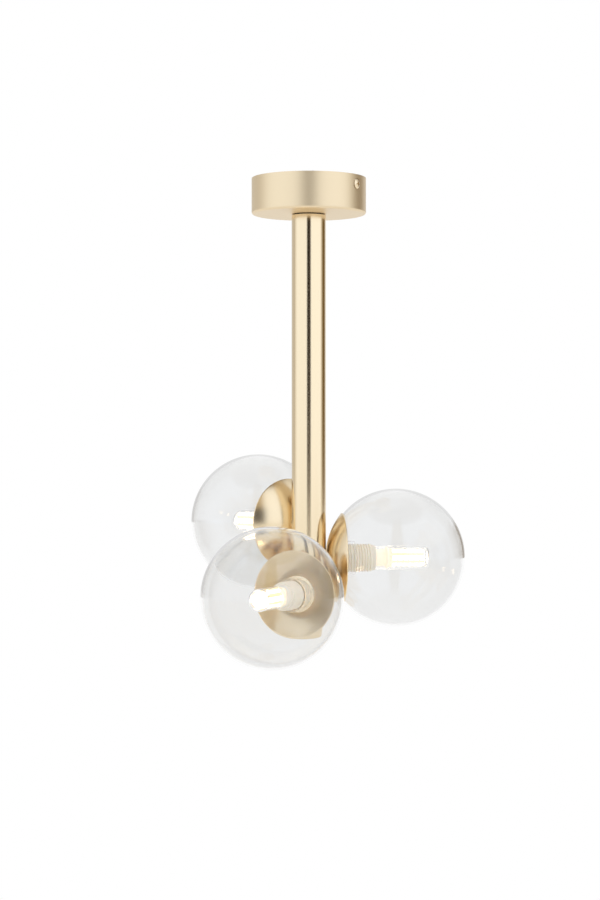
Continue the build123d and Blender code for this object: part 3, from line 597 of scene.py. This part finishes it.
def glowing(name, between, chip, strength):
    """Phosphor that gives light: warm on the post, and nearly white on its chips, which the lay marks."""
    material, tree, shader = new_material(name)
    marks = tree.nodes.new("ShaderNodeSeparateXYZ")
    tree.links.new(lay_coordinates(tree), marks.inputs["Vector"])
    spots = math_node(tree, "MULTIPLY", noise_node(tree, object_coordinates(tree), 900.0, 2.0), 0.25)
    share = math_node(tree, "SUBTRACT", marks.outputs["X"], spots, clamp=True)
    shade = mix_color(tree, share, (*between, 1), (*chip, 1))
    tree.links.new(shade, shader.inputs["Base Color"])
    tree.links.new(shade, shader.inputs["Emission Color"])
    shader.inputs["Emission Strength"].default_value = strength
    shader.inputs["Roughness"].default_value = 0.5
    return material


def striped_wire(name, ground, stripe):
    """Insulation in one colour with a stripe of another that winds along it."""
    material, tree, shader = new_material(name)
    wave = tree.nodes.new("ShaderNodeTexWave")
    wave.bands_direction = "DIAGONAL"
    wave.inputs["Scale"].default_value = 90.0
    wave.inputs["Distortion"].default_value = 0.6
    tree.links.new(object_coordinates(tree), wave.inputs["Vector"])
    share = math_node(tree, "GREATER_THAN", wave.outputs["Fac"], 0.55)
    tree.links.new(mix_color(tree, share, (*ground, 1), (*stripe, 1)), shader.inputs["Base Color"])
    shader.inputs["Roughness"].default_value = 0.45
    return material


BRASS = (0.88, 0.73, 0.50)
BRASS_DEEP = (0.85, 0.69, 0.46)
AROUND = (0.6, 0.6, 60.0)
ALONG = (40.0, 40.0, 0.4)
EVEN = (1.0, 1.0, 1.0)

FINISHES = {
    "canopy": metal("canopy_brass", BRASS, BRASS_DEEP, 0.40, 0.06, 3.0, 0.6, AROUND, 0.02, True),
    "tube": metal("tube_brass", BRASS, BRASS_DEEP, 0.15, 0.04, 2.0, 0.3, ALONG, 0.01, True),
    "cup": metal("cup_brass", BRASS, BRASS_DEEP, 0.24, 0.06, 3.0, 0.6, AROUND, 0.02, True),
    "screw_brass": metal("screw_brass", BRASS, BRASS_DEEP, 0.20, 0.10, 900.0, 120.0, EVEN, 0.05),
    "bare_brass": metal(
        "bare_brass", (0.78, 0.60, 0.33), (0.66, 0.48, 0.25), 0.24, 0.1, 900.0, 90.0, EVEN, 0.1),
    "zinc": metal(
        "zinc_steel", (0.72, 0.73, 0.75), (0.58, 0.60, 0.64), 0.30, 0.14, 700.0, 110.0, EVEN, 0.12),
    "screw_steel": metal(
        "screw_steel", (0.64, 0.64, 0.65), (0.5, 0.5, 0.52), 0.28, 0.1, 900.0, 150.0, EVEN, 0.1),
    "tinned": metal(
        "tinned_copper", (0.78, 0.77, 0.74), (0.66, 0.62, 0.57), 0.26, 0.1, 600.0, 120.0, EVEN, 0.1),
    "nickel": metal(
        "nickel_contact", (0.78, 0.77, 0.74), (0.68, 0.66, 0.62), 0.18, 0.1, 900.0, 150.0, EVEN, 0.05),
    "washer": moulded("dark_washer", (0.05, 0.045, 0.04), (0.03, 0.028, 0.025), 0.6, 0.15),
    "strip": moulded("strip_plastic", (0.88, 0.87, 0.83), (0.80, 0.79, 0.75), 0.42, 0.12, subsurface=0.3),
    "lead": moulded("lead_insulation", (0.86, 0.85, 0.81), (0.80, 0.79, 0.76), 0.40, 0.1),
    "earth": striped_wire("earth_insulation", (0.16, 0.42, 0.05), (0.85, 0.72, 0.06)),
    "ceramic": moulded("socket_ceramic", (0.90, 0.88, 0.82), (0.84, 0.81, 0.74), 0.22, 0.1, 700.0, 0.08),
    # The last number of the barrel and of the bulb's base is a painted glow, standing in for the bulb's light
    # coming through the plastic.
    "barrel": moulded(
        "barrel_plastic", (0.93, 0.83, 0.68), (0.88, 0.77, 0.61), 0.34, 0.1, 800.0, 0.06, 0.35, 0.06),
    "bulb_plastic": moulded(
        "bulb_plastic", (0.97, 0.87, 0.71), (0.93, 0.82, 0.65), 0.32, 0.1, 800.0, 0.05, 0.35, 0.40),
    "bulb_cover": blown_glass("bulb_cover", (0.99, 0.985, 0.97), (0.97, 0.965, 0.95), 0.03),
    "glow": glowing("bulb_light", (0.20, 0.14, 0.08), (1.0, 0.84, 0.62), 9.0),
    "globe": blown_glass("clear_glass", (0.915, 0.916, 0.912), (0.905, 0.906, 0.902), 0.0),
}


# ---------------------------------------------------------------- brass pieces

def canopy_outline(radius, floor_height, edge_round, steps):
    """From the ceiling down the side, round the edge and in to the nipple hole, as (z, radius) points."""
    centre = (-CANOPY_HEIGHT + CANOPY_EDGE_ROUND, CANOPY_RADIUS - CANOPY_EDGE_ROUND)
    side = straight((0, radius), (centre[0], radius), steps)
    edge = arc(centre, edge_round, 90, 180, FINE_STEPS)
    floor = straight((floor_height, centre[1]), (floor_height, NIPPLE_HOLE_RADIUS), FINE_STEPS)
    return np.vstack([side, edge[1:], floor[1:]])


def dress_canopy():
    """The drum: its outline goes round the Z axis at the radius, and again one wall further in. A screw's hole
    goes through its side wherever the place across it is within the hole's radius of the screw's axis."""
    outer = canopy_outline(CANOPY_RADIUS, -CANOPY_HEIGHT, CANOPY_EDGE_ROUND, CANOPY_SIDE_STEPS)
    inner = canopy_outline(CANOPY_RADIUS - CANOPY_WALL, CANOPY_WALL - CANOPY_HEIGHT,
                           CANOPY_EDGE_ROUND - CANOPY_WALL, CANOPY_SIDE_STEPS)
    holes = []
    for screw in ("canopy_screw_1", "canopy_screw_2"):
        low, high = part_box(screw)
        middle = (low + high) / 2
        holes.append((math.atan2(middle.y, middle.x), -SCREW_DROP, CANOPY_HOLE_RADIUS))
    points, faces, lay = drilled_shell(outer, inner, holes)
    piece = make_piece("dressed_canopy", points, faces[:, ::-1], FINISHES["canopy"], lay)
    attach(piece, "fixture")
    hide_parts("canopy")


def tube_rows(bottom, top, hole_heights):
    """Heights down the tube: every millimetre beside a hole, and about a dozen millimetres apart elsewhere."""
    close = BOSS_RADIUS * 1.5
    rows = {bottom, top}
    for height in hole_heights:
        rows.update(np.arange(height - close, height + close + 0.5, 1.0).tolist())
    for height in np.linspace(bottom, top, TUBE_PLAIN_ROWS):
        if all(abs(height - hole) > close + 1 for hole in hole_heights):
            rows.add(height)
    return np.array(sorted(rows, reverse=True))


def dress_tube():
    """The stem: two skins at a set distance from the Z axis, with a hole where the place across from a lamp's
    axis is within the boss's radius."""
    low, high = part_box("tube")
    places = [lamp_place(lamp) for lamp in LAMPS]
    z = tube_rows(low.z / MM, high.z / MM, [height for angle, height in places])
    outer = np.column_stack([z, np.full(len(z), TUBE_RADIUS)])
    inner = np.column_stack([z, np.full(len(z), TUBE_RADIUS - TUBE_WALL)])
    holes = [(angle, height, BOSS_RADIUS + THREAD_CLEARANCE) for angle, height in places]
    points, faces, lay = drilled_shell(outer, inner, holes)
    piece = make_piece("dressed_tube", points, faces[:, ::-1], FINISHES["tube"], lay)
    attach(piece, "fixture")
    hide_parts("tube")


def dress_end_cap():
    """The tube's lower cap: a flange with a rounded lower edge, and a spigot, turned round the Z axis."""
    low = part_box("tube_end_cap")[0].z / MM
    flange_top = low + END_CAP_THICKNESS
    rounding = END_CAP_THICKNESS / 3
    spigot = TUBE_RADIUS - TUBE_WALL - SLIDE_CLEARANCE
    outline = joined(
        straight((low, 0), (low, TUBE_RADIUS - rounding), FINE_STEPS),
        arc((low + rounding, TUBE_RADIUS - rounding), rounding, 180, 90, FINE_STEPS),
        straight((flange_top, TUBE_RADIUS), (flange_top, spigot), 1),
        straight((flange_top, spigot), (flange_top + END_CAP_SPIGOT, spigot), 1),
        straight((flange_top + END_CAP_SPIGOT, spigot), (flange_top + END_CAP_SPIGOT, 0), 2),
    )
    points, faces, lay = turned(outline, False)
    piece = make_piece("dressed_end_cap", upright(points), faces, FINISHES["tube"], lay)
    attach(piece, "fixture")
    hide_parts("tube_end_cap")


def dress_boss(lamp):
    """The bush in the tube's wall: a plain ring with a small bevel of equal legs at its outer front edge."""
    back = BOSS_FACE - BOSS_LENGTH
    outline = joined(
        straight((back, NIPPLE_HOLE_RADIUS), (back, BOSS_RADIUS), 1),
        straight((back, BOSS_RADIUS), (BOSS_FACE - BOSS_EDGE, BOSS_RADIUS), 2),
        straight((BOSS_FACE - BOSS_EDGE, BOSS_RADIUS), (BOSS_FACE, BOSS_RADIUS - BOSS_EDGE), 1),
        straight((BOSS_FACE, BOSS_RADIUS - BOSS_EDGE), (BOSS_FACE, NIPPLE_HOLE_RADIUS), 1),
    )
    points, faces, lay = turned(outline, True)
    piece = make_piece("dressed_boss_" + lamp, at_lamp(points, lamp), faces, FINISHES["cup"], lay)
    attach(piece, "fixture")
    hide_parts("boss_" + lamp)


def cup_outline():
    """Seat, outer sphere, half-round rim, inner sphere and back to the seat, as (along, radius) points."""
    centre = (GLOBE_CENTRE, 0)
    middle = (CUP_OUTER_RADIUS + CUP_INNER_RADIUS) / 2
    rim_angle = 180 - math.degrees(math.asin(CUP_RIM_RADIUS / middle))
    seat_angle = 180 - math.degrees(math.asin(CUP_SEAT_RADIUS / CUP_OUTER_RADIUS))
    inner_seat = 180 - math.degrees(math.acos((GLOBE_CENTRE - HOLDER_SEAT) / CUP_INNER_RADIUS))
    lip_centre = (
        GLOBE_CENTRE + middle * math.cos(math.radians(rim_angle)),
        middle * math.sin(math.radians(rim_angle)),
    )
    return joined(
        straight((BOSS_FACE, NIPPLE_HOLE_RADIUS), (BOSS_FACE, CUP_SEAT_RADIUS), 2),
        arc(centre, CUP_OUTER_RADIUS, seat_angle, rim_angle, 6 * FINE_STEPS),
        arc(lip_centre, CUP_WALL / 2, rim_angle, rim_angle - 180, FINE_STEPS),
        arc(centre, CUP_INNER_RADIUS, rim_angle, inner_seat, 6 * FINE_STEPS),
        straight((HOLDER_SEAT, CUP_INNER_RADIUS * math.sin(math.radians(inner_seat))),
                 (HOLDER_SEAT, NIPPLE_HOLE_RADIUS), 2),
    )


def dress_cup(lamp):
    """The cup: parts of two spheres about the globe's centre, one wall apart, turned round the lamp's axis."""
    points, faces, lay = turned(cup_outline(), True)
    piece = make_piece("dressed_cup_" + lamp, at_lamp(points, lamp), faces, FINISHES["cup"], lay)
    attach(piece, "fixture")
    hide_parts("cup_" + lamp)


# ---------------------------------------------------------------- glass

def globe_outline():
    """From the globe's front, round the outside, in through the neck, and round the inside to the front."""
    centre = (GLOBE_CENTRE, 0)
    inner_radius = GLOBE_RADIUS - GLOBE_WALL
    neck_outer = NECK_BORE_RADIUS + NECK_WALL
    neck_end = GLOBE_CENTRE - GLOBE_RADIUS + NECK_DEPTH
    back_y = NECK_BORE_RADIUS + GLOBE_BACK_ROUND
    back_x = GLOBE_CENTRE - math.sqrt((GLOBE_RADIUS - GLOBE_BACK_ROUND) ** 2 - back_y**2)
    back_angle = direction_of((back_x, back_y), centre)
    flare_y = neck_outer + NECK_FLARE
    flare_x = GLOBE_CENTRE - math.sqrt((inner_radius - NECK_FLARE) ** 2 - flare_y**2)
    flare_angle = direction_of((flare_x, flare_y), centre)
    lip_x = neck_end - NECK_LIP
    return joined(
        arc(centre, GLOBE_RADIUS, 0, back_angle, GLOBE_STEPS),
        arc((back_x, back_y), GLOBE_BACK_ROUND, back_angle, 270, FINE_STEPS),
        straight((back_x, NECK_BORE_RADIUS), (lip_x, NECK_BORE_RADIUS), FINE_STEPS),
        arc((lip_x, NECK_BORE_RADIUS + NECK_LIP), NECK_LIP, -90, 0, FINE_STEPS),
        arc((lip_x, neck_outer - NECK_LIP), NECK_LIP, 0, 90, FINE_STEPS),
        straight((lip_x, neck_outer), (flare_x, neck_outer), FINE_STEPS),
        corner_arc((flare_x, flare_y), NECK_FLARE, (flare_x, neck_outer),
                   (GLOBE_CENTRE + inner_radius * math.cos(math.radians(flare_angle)),
                    inner_radius * math.sin(math.radians(flare_angle))), 2 * FINE_STEPS),
        arc(centre, inner_radius, flare_angle, 0, GLOBE_STEPS),
    )


def dress_globe(lamp):
    """The globe: two spheres about one centre, one wall apart, that run into a neck round the lamp's axis."""
    points, faces, lay = turned(globe_outline(), False, GLOBE_ROUND_STEPS)
    piece = make_piece("dressed_globe_" + lamp, at_lamp(points, lamp), faces[:, ::-1],
                       FINISHES["globe"], lay)
    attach(piece, "globe_" + lamp)
    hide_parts("globe_" + lamp)


def dress_bulb_cover(lamp):
    """The capsule: straight sides and a rounded front, outside and inside."""
    inner_radius = BULB_RADIUS - BULB_COVER_WALL
    outer_corner = (BULB_TIP - BULB_COVER_ROUND, BULB_RADIUS - BULB_COVER_ROUND)
    inner_round = BULB_COVER_ROUND - BULB_COVER_WALL
    outline = joined(
        straight((BULB_TIP, 0), (BULB_TIP, outer_corner[1]), FINE_STEPS),
        arc(outer_corner, BULB_COVER_ROUND, 0, 90, FINE_STEPS),
        straight((outer_corner[0], BULB_RADIUS), (COLLAR_FRONT, BULB_RADIUS), 4 * FINE_STEPS),
        straight((COLLAR_FRONT, BULB_RADIUS), (COLLAR_FRONT, inner_radius), 1),
        straight((COLLAR_FRONT, inner_radius), (outer_corner[0], inner_radius), 4 * FINE_STEPS),
        arc(outer_corner, inner_round, 90, 0, FINE_STEPS),
        straight((BULB_TIP - BULB_COVER_WALL, outer_corner[1]), (BULB_TIP - BULB_COVER_WALL, 0), FINE_STEPS),
    )
    points, faces, lay = turned(outline, False, ROUND_STEPS // 2)
    piece = make_piece("dressed_bulb_cover_" + lamp, at_lamp(points, lamp), faces[:, ::-1],
                       FINISHES["bulb_cover"], lay)
    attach(piece, "bulb_" + lamp)
    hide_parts("bulb_cover_" + lamp)


def dress_bulb_core(lamp):
    """A six-sided post with raised chips. The radius of a flat is half the width across flats, over the cosine
    of the angle from the flat's middle. A chip adds its height where both the place along and the place across
    are within half its size of its middle. The lay's first number is 1 on a chip and on the front end."""
    row_step = (CORE_FRONT - CORE_BACK) / CHIP_ROWS
    side_steps = CHIP_ROWS * 3 * FINE_STEPS
    along = np.linspace(CORE_BACK, CORE_FRONT, side_steps + 1)
    side = straight((CORE_BACK, 0), (CORE_FRONT, 0), side_steps)
    outline = np.vstack([[(CORE_BACK, 0)], side, [(CORE_FRONT, 0)]])
    t = np.linspace(0, 2 * math.pi, ROUND_STEPS, endpoint=False)
    facet = (t + math.pi / 6) % (math.pi / 3) - math.pi / 6
    post = CORE_FLATS / 2 / np.cos(facet)
    across = np.abs(CORE_FLATS / 2 * np.tan(facet)) < CHIP_SIZE / 2
    place = (along - CORE_BACK) % row_step - row_step / 2
    chip = (np.abs(place) < CHIP_SIZE / 2)[:, None] & across
    change = np.zeros((len(outline), ROUND_STEPS))
    change[1:-1] = post + CHIP_HEIGHT * chip
    points, faces, _ = turned(outline, False, ROUND_STEPS, change)
    marks = np.zeros((len(outline), ROUND_STEPS, 3))
    marks[1:-1, :, 0] = chip
    marks[-2:, :, 0] = 1
    piece = make_piece("dressed_bulb_core_" + lamp, at_lamp(points, lamp), faces, FINISHES["glow"],
                       marks.reshape(-1, 3))
    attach(piece, "bulb_" + lamp)
    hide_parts("bulb_core_" + lamp)


# ---------------------------------------------------------------- lampholder barrel

def thread_height(along, t):
    """A ridge that winds round the barrel: where the place within a pitch, along/pitch − t/2π, is below a
    quarter it rises, below a half it is flat, below three quarters it falls. It fades in and out."""
    start = HOLDER_SEAT + THREAD_START
    end = BARREL_FRONT - BARREL_NOSE_LENGTH
    place = ((along - start) / THREAD_PITCH - t / (2 * math.pi)) % 1.0
    tooth = np.clip(np.minimum(place * 4, 3 - place * 4), 0, 1)
    fade_in = np.clip((along - start) / THREAD_RUN_OUT, 0, 1)
    fade_out = np.clip((end - along) / THREAD_RUN_OUT * 2, 0, 1)
    return THREAD_DEPTH * tooth * fade_in * fade_out


def dress_barrel(lamp):
    """The holder: its outline goes round the lamp's axis, with the thread's height added to the root radius."""
    root = THREAD_RADIUS - THREAD_DEPTH
    nose_start = BARREL_FRONT - BARREL_NOSE_LENGTH
    nose_centre = (BARREL_FRONT - BARREL_NOSE_ROUND, BARREL_NOSE_RADIUS - BARREL_NOSE_ROUND)
    thread_rows = int((nose_start - HOLDER_SEAT - BARREL_PAD_BEVEL) / THREAD_PITCH * 2 * FINE_STEPS)
    floor = HOLDER_SEAT + BARREL_BACK
    outline = joined(
        straight((HOLDER_SEAT, NIPPLE_HOLE_RADIUS), (HOLDER_SEAT, BARREL_PAD_RADIUS), 2),
        straight((HOLDER_SEAT, BARREL_PAD_RADIUS), (HOLDER_SEAT + BARREL_PAD_BEVEL, root), 2),
        straight((HOLDER_SEAT + BARREL_PAD_BEVEL, root), (nose_start, root), thread_rows),
        straight((nose_start, root), (nose_start, BARREL_NOSE_RADIUS), 1),
        straight((nose_start, BARREL_NOSE_RADIUS), (nose_centre[0], BARREL_NOSE_RADIUS), 2),
        arc(nose_centre, BARREL_NOSE_ROUND, 90, 0, FINE_STEPS),
        straight((BARREL_FRONT, nose_centre[1]), (BARREL_FRONT, BARREL_BORE_RADIUS), 1),
        straight((BARREL_FRONT, BARREL_BORE_RADIUS), (floor, BARREL_BORE_RADIUS), FINE_STEPS),
        straight((floor, BARREL_BORE_RADIUS), (floor, NIPPLE_HOLE_RADIUS), 2),
    )
    t = np.linspace(0, 2 * math.pi, ROUND_STEPS // 2, endpoint=False)
    threaded = np.abs(outline[:, 1] - root) < SAME_POINT
    change = np.where(threaded[:, None], thread_height(outline[:, :1], t), 0)
    points, faces, lay = turned(outline, True, ROUND_STEPS // 2, change)
    piece = make_piece("dressed_barrel_" + lamp, at_lamp(points, lamp), faces, FINISHES["barrel"], lay)
    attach(piece, "fixture")
    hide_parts("barrel_" + lamp)


# ---------------------------------------------------------------- nodes that keep their own shape

NODE_FINISHES = {
    "zinc": (
        "mounting_bracket", "top_nipple", "canopy_washer", "canopy_locknut", "lamp_nipples", "holder_nuts"),
    "screw_steel": ("terminal_screws", "block_screw", "holder_lock_washers"),
    "bare_brass": ("terminal_tubes", "earth_screw", "tube_top_plug"),
    "screw_brass": ("canopy_screw_1", "canopy_screw_2"),
    "strip": ("terminal_block",),
    "tinned": ("earth_lug",),
    "earth": ("earth_wire",),
    "washer": ("tube_seat_washer",),
    "ceramic": ("socket_",),
    "nickel": ("contacts_", "bulb_pins_"),
    "lead": ("leads_",),
    "bulb_plastic": ("bulb_base_",),
}


def finish_nodes():
    """Gives each node that stays as it is its finish. A name that ends in _ stands for one at each lamp."""
    for finish, names in NODE_FINISHES.items():
        for name in names:
            for end in LAMPS if name.endswith("_") else ("",):
                node = frame["nodes"][name + end]
                for slot in node.material_slots:
                    slot.material = FINISHES[finish]


# ---------------------------------------------------------------- studio

def smooth_step(tree, value, start, end):
    """0 below start and 1 above end, with a soft change between."""
    node = tree.nodes.new("ShaderNodeMapRange")
    node.interpolation_type = "SMOOTHSTEP"
    tree.links.new(value, node.inputs["Value"])
    node.inputs["From Min"].default_value = start
    node.inputs["From Max"].default_value = end
    return node.outputs["Result"]


# The studio round the object, as rows of degrees from the camera, counted to its right, and a colour: a strip
# level with the object, the belt of soft panels over and under it, and the room over and under the belt. The
# heights are degrees above or below the horizon at which one runs into the next.
STRIP_HEIGHT = 24.0
STRIP = (
    (-180, (0.80, 0.80, 0.80)),
    (-140, (0.66, 0.66, 0.66)),
    (-112, (0.60, 0.58, 0.56)),
    (-100, (0.90, 0.92, 0.95)),
    (-86, (1.12, 1.19, 1.30)),
    (-15, (1.12, 1.19, 1.30)),
    (-10, (0.02, 0.015, 0.01)),
    (10, (0.02, 0.015, 0.01)),
    (15, (1.18, 1.25, 1.37)),
    (84, (1.18, 1.25, 1.37)),
    (92, (0.86, 0.84, 0.80)),
    (102, (0.42, 0.38, 0.32)),
    (110, (0.18, 0.12, 0.05)),
    (132, (0.18, 0.12, 0.05)),
    (144, (0.90, 0.90, 0.90)),
    (180, (0.80, 0.80, 0.80)),
)
BELT_HEIGHT = 58.0
BELT = (
    (-180, (0.80, 0.80, 0.80)),
    (-120, (0.74, 0.74, 0.74)),
    (-94, (0.80, 0.82, 0.85)),
    (-86, (1.12, 1.19, 1.30)),
    (-12, (1.12, 1.19, 1.30)),
    (-8, (0.50, 0.38, 0.20)),
    (8, (0.50, 0.38, 0.20)),
    (12, (1.18, 1.25, 1.37)),
    (86, (1.18, 1.25, 1.37)),
    (94, (0.80, 0.80, 0.80)),
    (120, (0.70, 0.70, 0.70)),
    (180, (0.80, 0.80, 0.80)),
)
ROOM = (
    (-180, (0.80, 0.80, 0.80)),
    (-120, (0.40, 0.37, 0.33)),
    (-60, (0.18, 0.14, 0.10)),
    (0, (0.10, 0.08, 0.06)),
    (60, (0.18, 0.14, 0.10)),
    (120, (0.30, 0.27, 0.24)),
    (180, (0.80, 0.80, 0.80)),
)
# Light that is thrown about inside the globes lifts the room as it is mirrored in and through them
GLOBE_LIFT = (1.1, 1.1, 1.1, 1)
GLOBE_LIFT_SHARE = 0.8
SOFT_EDGE = 4.0


def round_about(tree, degrees, stops):
    """The colour at a direction round the object, taken from a table of stops."""
    share = math_node(tree, "MULTIPLY_ADD", degrees, 1 / 360)
    share.node.inputs[2].default_value = 0.5
    ramp = tree.nodes.new("ShaderNodeValToRGB")
    tree.links.new(share, ramp.inputs["Fac"])
    elements = ramp.color_ramp.elements
    while len(elements) < len(stops):
        elements.new(0.5)
    for element, (angle, color) in zip(elements, stops):
        element.position = angle / 360 + 0.5
        element.color = (*color, 1)
    return ramp.outputs["Color"]


def set_world():
    """Soft panels to the left and right of the camera with a dark gap between, a dim room over and under
    them, and a white backdrop, which is what is seen straight or through glass alone."""
    world = bpy.data.worlds.new("studio")
    bpy.context.scene.world = world
    world.use_nodes = True
    tree = world.node_tree
    coordinates = tree.nodes.new("ShaderNodeTexCoord").outputs["Generated"]
    turn = tree.nodes.new("ShaderNodeVectorRotate")
    turn.rotation_type = "Z_AXIS"
    turn.inputs["Angle"].default_value = math.radians(-CAMERA_AZIMUTH)
    tree.links.new(coordinates, turn.inputs["Vector"])
    parts = tree.nodes.new("ShaderNodeSeparateXYZ")
    tree.links.new(turn.outputs["Vector"], parts.inputs["Vector"])
    x, y, z = parts.outputs
    forward = math_node(tree, "MULTIPLY", y, -1.0)
    degrees = math_node(tree, "DEGREES", math_node(tree, "ARCTAN2", x, forward))
    height = math_node(tree, "ABSOLUTE", math_node(tree, "DEGREES", math_node(tree, "ARCSINE", z)))
    path = tree.nodes.new("ShaderNodeLightPath")
    through_glass = math_node(tree, "GREATER_THAN", path.outputs["Transmission Depth"], 0.5)
    lift = math_node(tree, "MULTIPLY", through_glass, GLOBE_LIFT_SHARE)
    room = mix_color(tree, lift, round_about(tree, degrees, ROOM), GLOBE_LIFT)
    studio = round_about(tree, degrees, STRIP)
    for edge, farther in ((STRIP_HEIGHT, round_about(tree, degrees, BELT)), (BELT_HEIGHT, room)):
        beyond = smooth_step(tree, height, edge - SOFT_EDGE, edge + SOFT_EDGE)
        studio = mix_color(tree, beyond, studio, farther)
    # In a world, Ray Depth is one more than the bounces, so 1 is left where all of them went through glass
    turns = math_node(tree, "SUBTRACT", path.outputs["Ray Depth"], path.outputs["Transmission Depth"])
    light = mix_color(tree, math_node(tree, "LESS_THAN", turns, 1.5), studio, (1, 1, 1, 1))
    tree.links.new(light, tree.nodes["Background"].inputs["Color"])


def set_floor():
    """A wide pale floor. Near the object it shows its shadow. Farther off, and through glass, it is plain
    white."""
    material, tree, shader = new_material("pale_floor")
    shader.inputs["Base Color"].default_value = FLOOR_COLOR
    shader.inputs["Roughness"].default_value = FLOOR_ROUGHNESS
    glow = tree.nodes.new("ShaderNodeEmission")
    mix = tree.nodes.new("ShaderNodeMixShader")
    path = tree.nodes.new("ShaderNodeLightPath")
    seen = math_node(tree, "MAXIMUM", path.outputs["Is Camera Ray"], path.outputs["Is Transmission Ray"])
    seen = math_node(tree, "MAXIMUM", seen, path.outputs["Is Glossy Ray"])
    distance = tree.nodes.new("ShaderNodeVectorMath")
    distance.operation = "LENGTH"
    tree.links.new(object_coordinates(tree), distance.inputs[0])
    fade = smooth_step(tree, distance.outputs["Value"], *FLOOR_FADE)
    share = math_node(tree, "ADD", FLOOR_WHITE_NEAR, math_node(tree, "MULTIPLY", fade, FLOOR_WHITE_MORE))
    through_glass = math_node(tree, "GREATER_THAN", path.outputs["Transmission Depth"], 0.5)
    share = math_node(tree, "MAXIMUM", share, through_glass)
    tree.links.new(math_node(tree, "MULTIPLY", share, seen), mix.inputs["Fac"])
    tree.links.new(shader.outputs["BSDF"], mix.inputs[1])
    tree.links.new(glow.outputs["Emission"], mix.inputs[2])
    tree.links.new(mix.outputs["Shader"], tree.nodes["Material Output"].inputs["Surface"])
    half = FLOOR_SIZE / 2
    corners = [(x, y, FLOOR_HEIGHT) for x, y in ((-half, -half), (half, -half), (half, half), (-half, half))]
    mesh = bpy.data.meshes.new("floor")
    mesh.from_pydata(corners, [], [(0, 1, 2, 3)])
    mesh.materials.append(material)
    floor = bpy.data.objects.new("floor", mesh)
    bpy.context.scene.collection.objects.link(floor)


def set_camera():
    """A level camera, turned and shifted a little to where the photograph was taken from."""
    angle = math.radians(CAMERA_AZIMUTH)
    back = Vector((math.sin(angle), -math.cos(angle), 0))
    right = Vector((math.cos(angle), math.sin(angle), 0))
    data = bpy.data.cameras.new("camera")
    data.lens = CAMERA_LENS
    camera = bpy.data.objects.new("camera", data)
    bpy.context.scene.collection.objects.link(camera)
    camera.location = back * CAMERA_DISTANCE + right * CAMERA_SIDESTEP + Vector((0, 0, CAMERA_HEIGHT))
    camera.rotation_euler = (-back).to_track_quat("-Z", "Y").to_euler()
    bpy.context.scene.camera = camera


def dress_light():
    """All the pieces that scene.py shapes itself, and the finishes of the others."""
    dress_canopy()
    dress_tube()
    dress_end_cap()
    for lamp in LAMPS:
        dress_boss(lamp)
        dress_cup(lamp)
        dress_barrel(lamp)
        dress_globe(lamp)
        dress_bulb_cover(lamp)
        dress_bulb_core(lamp)
    finish_nodes()


dress_light()
set_world()
set_floor()
set_camera()
bpy.context.scene.view_settings.view_transform = "Standard"
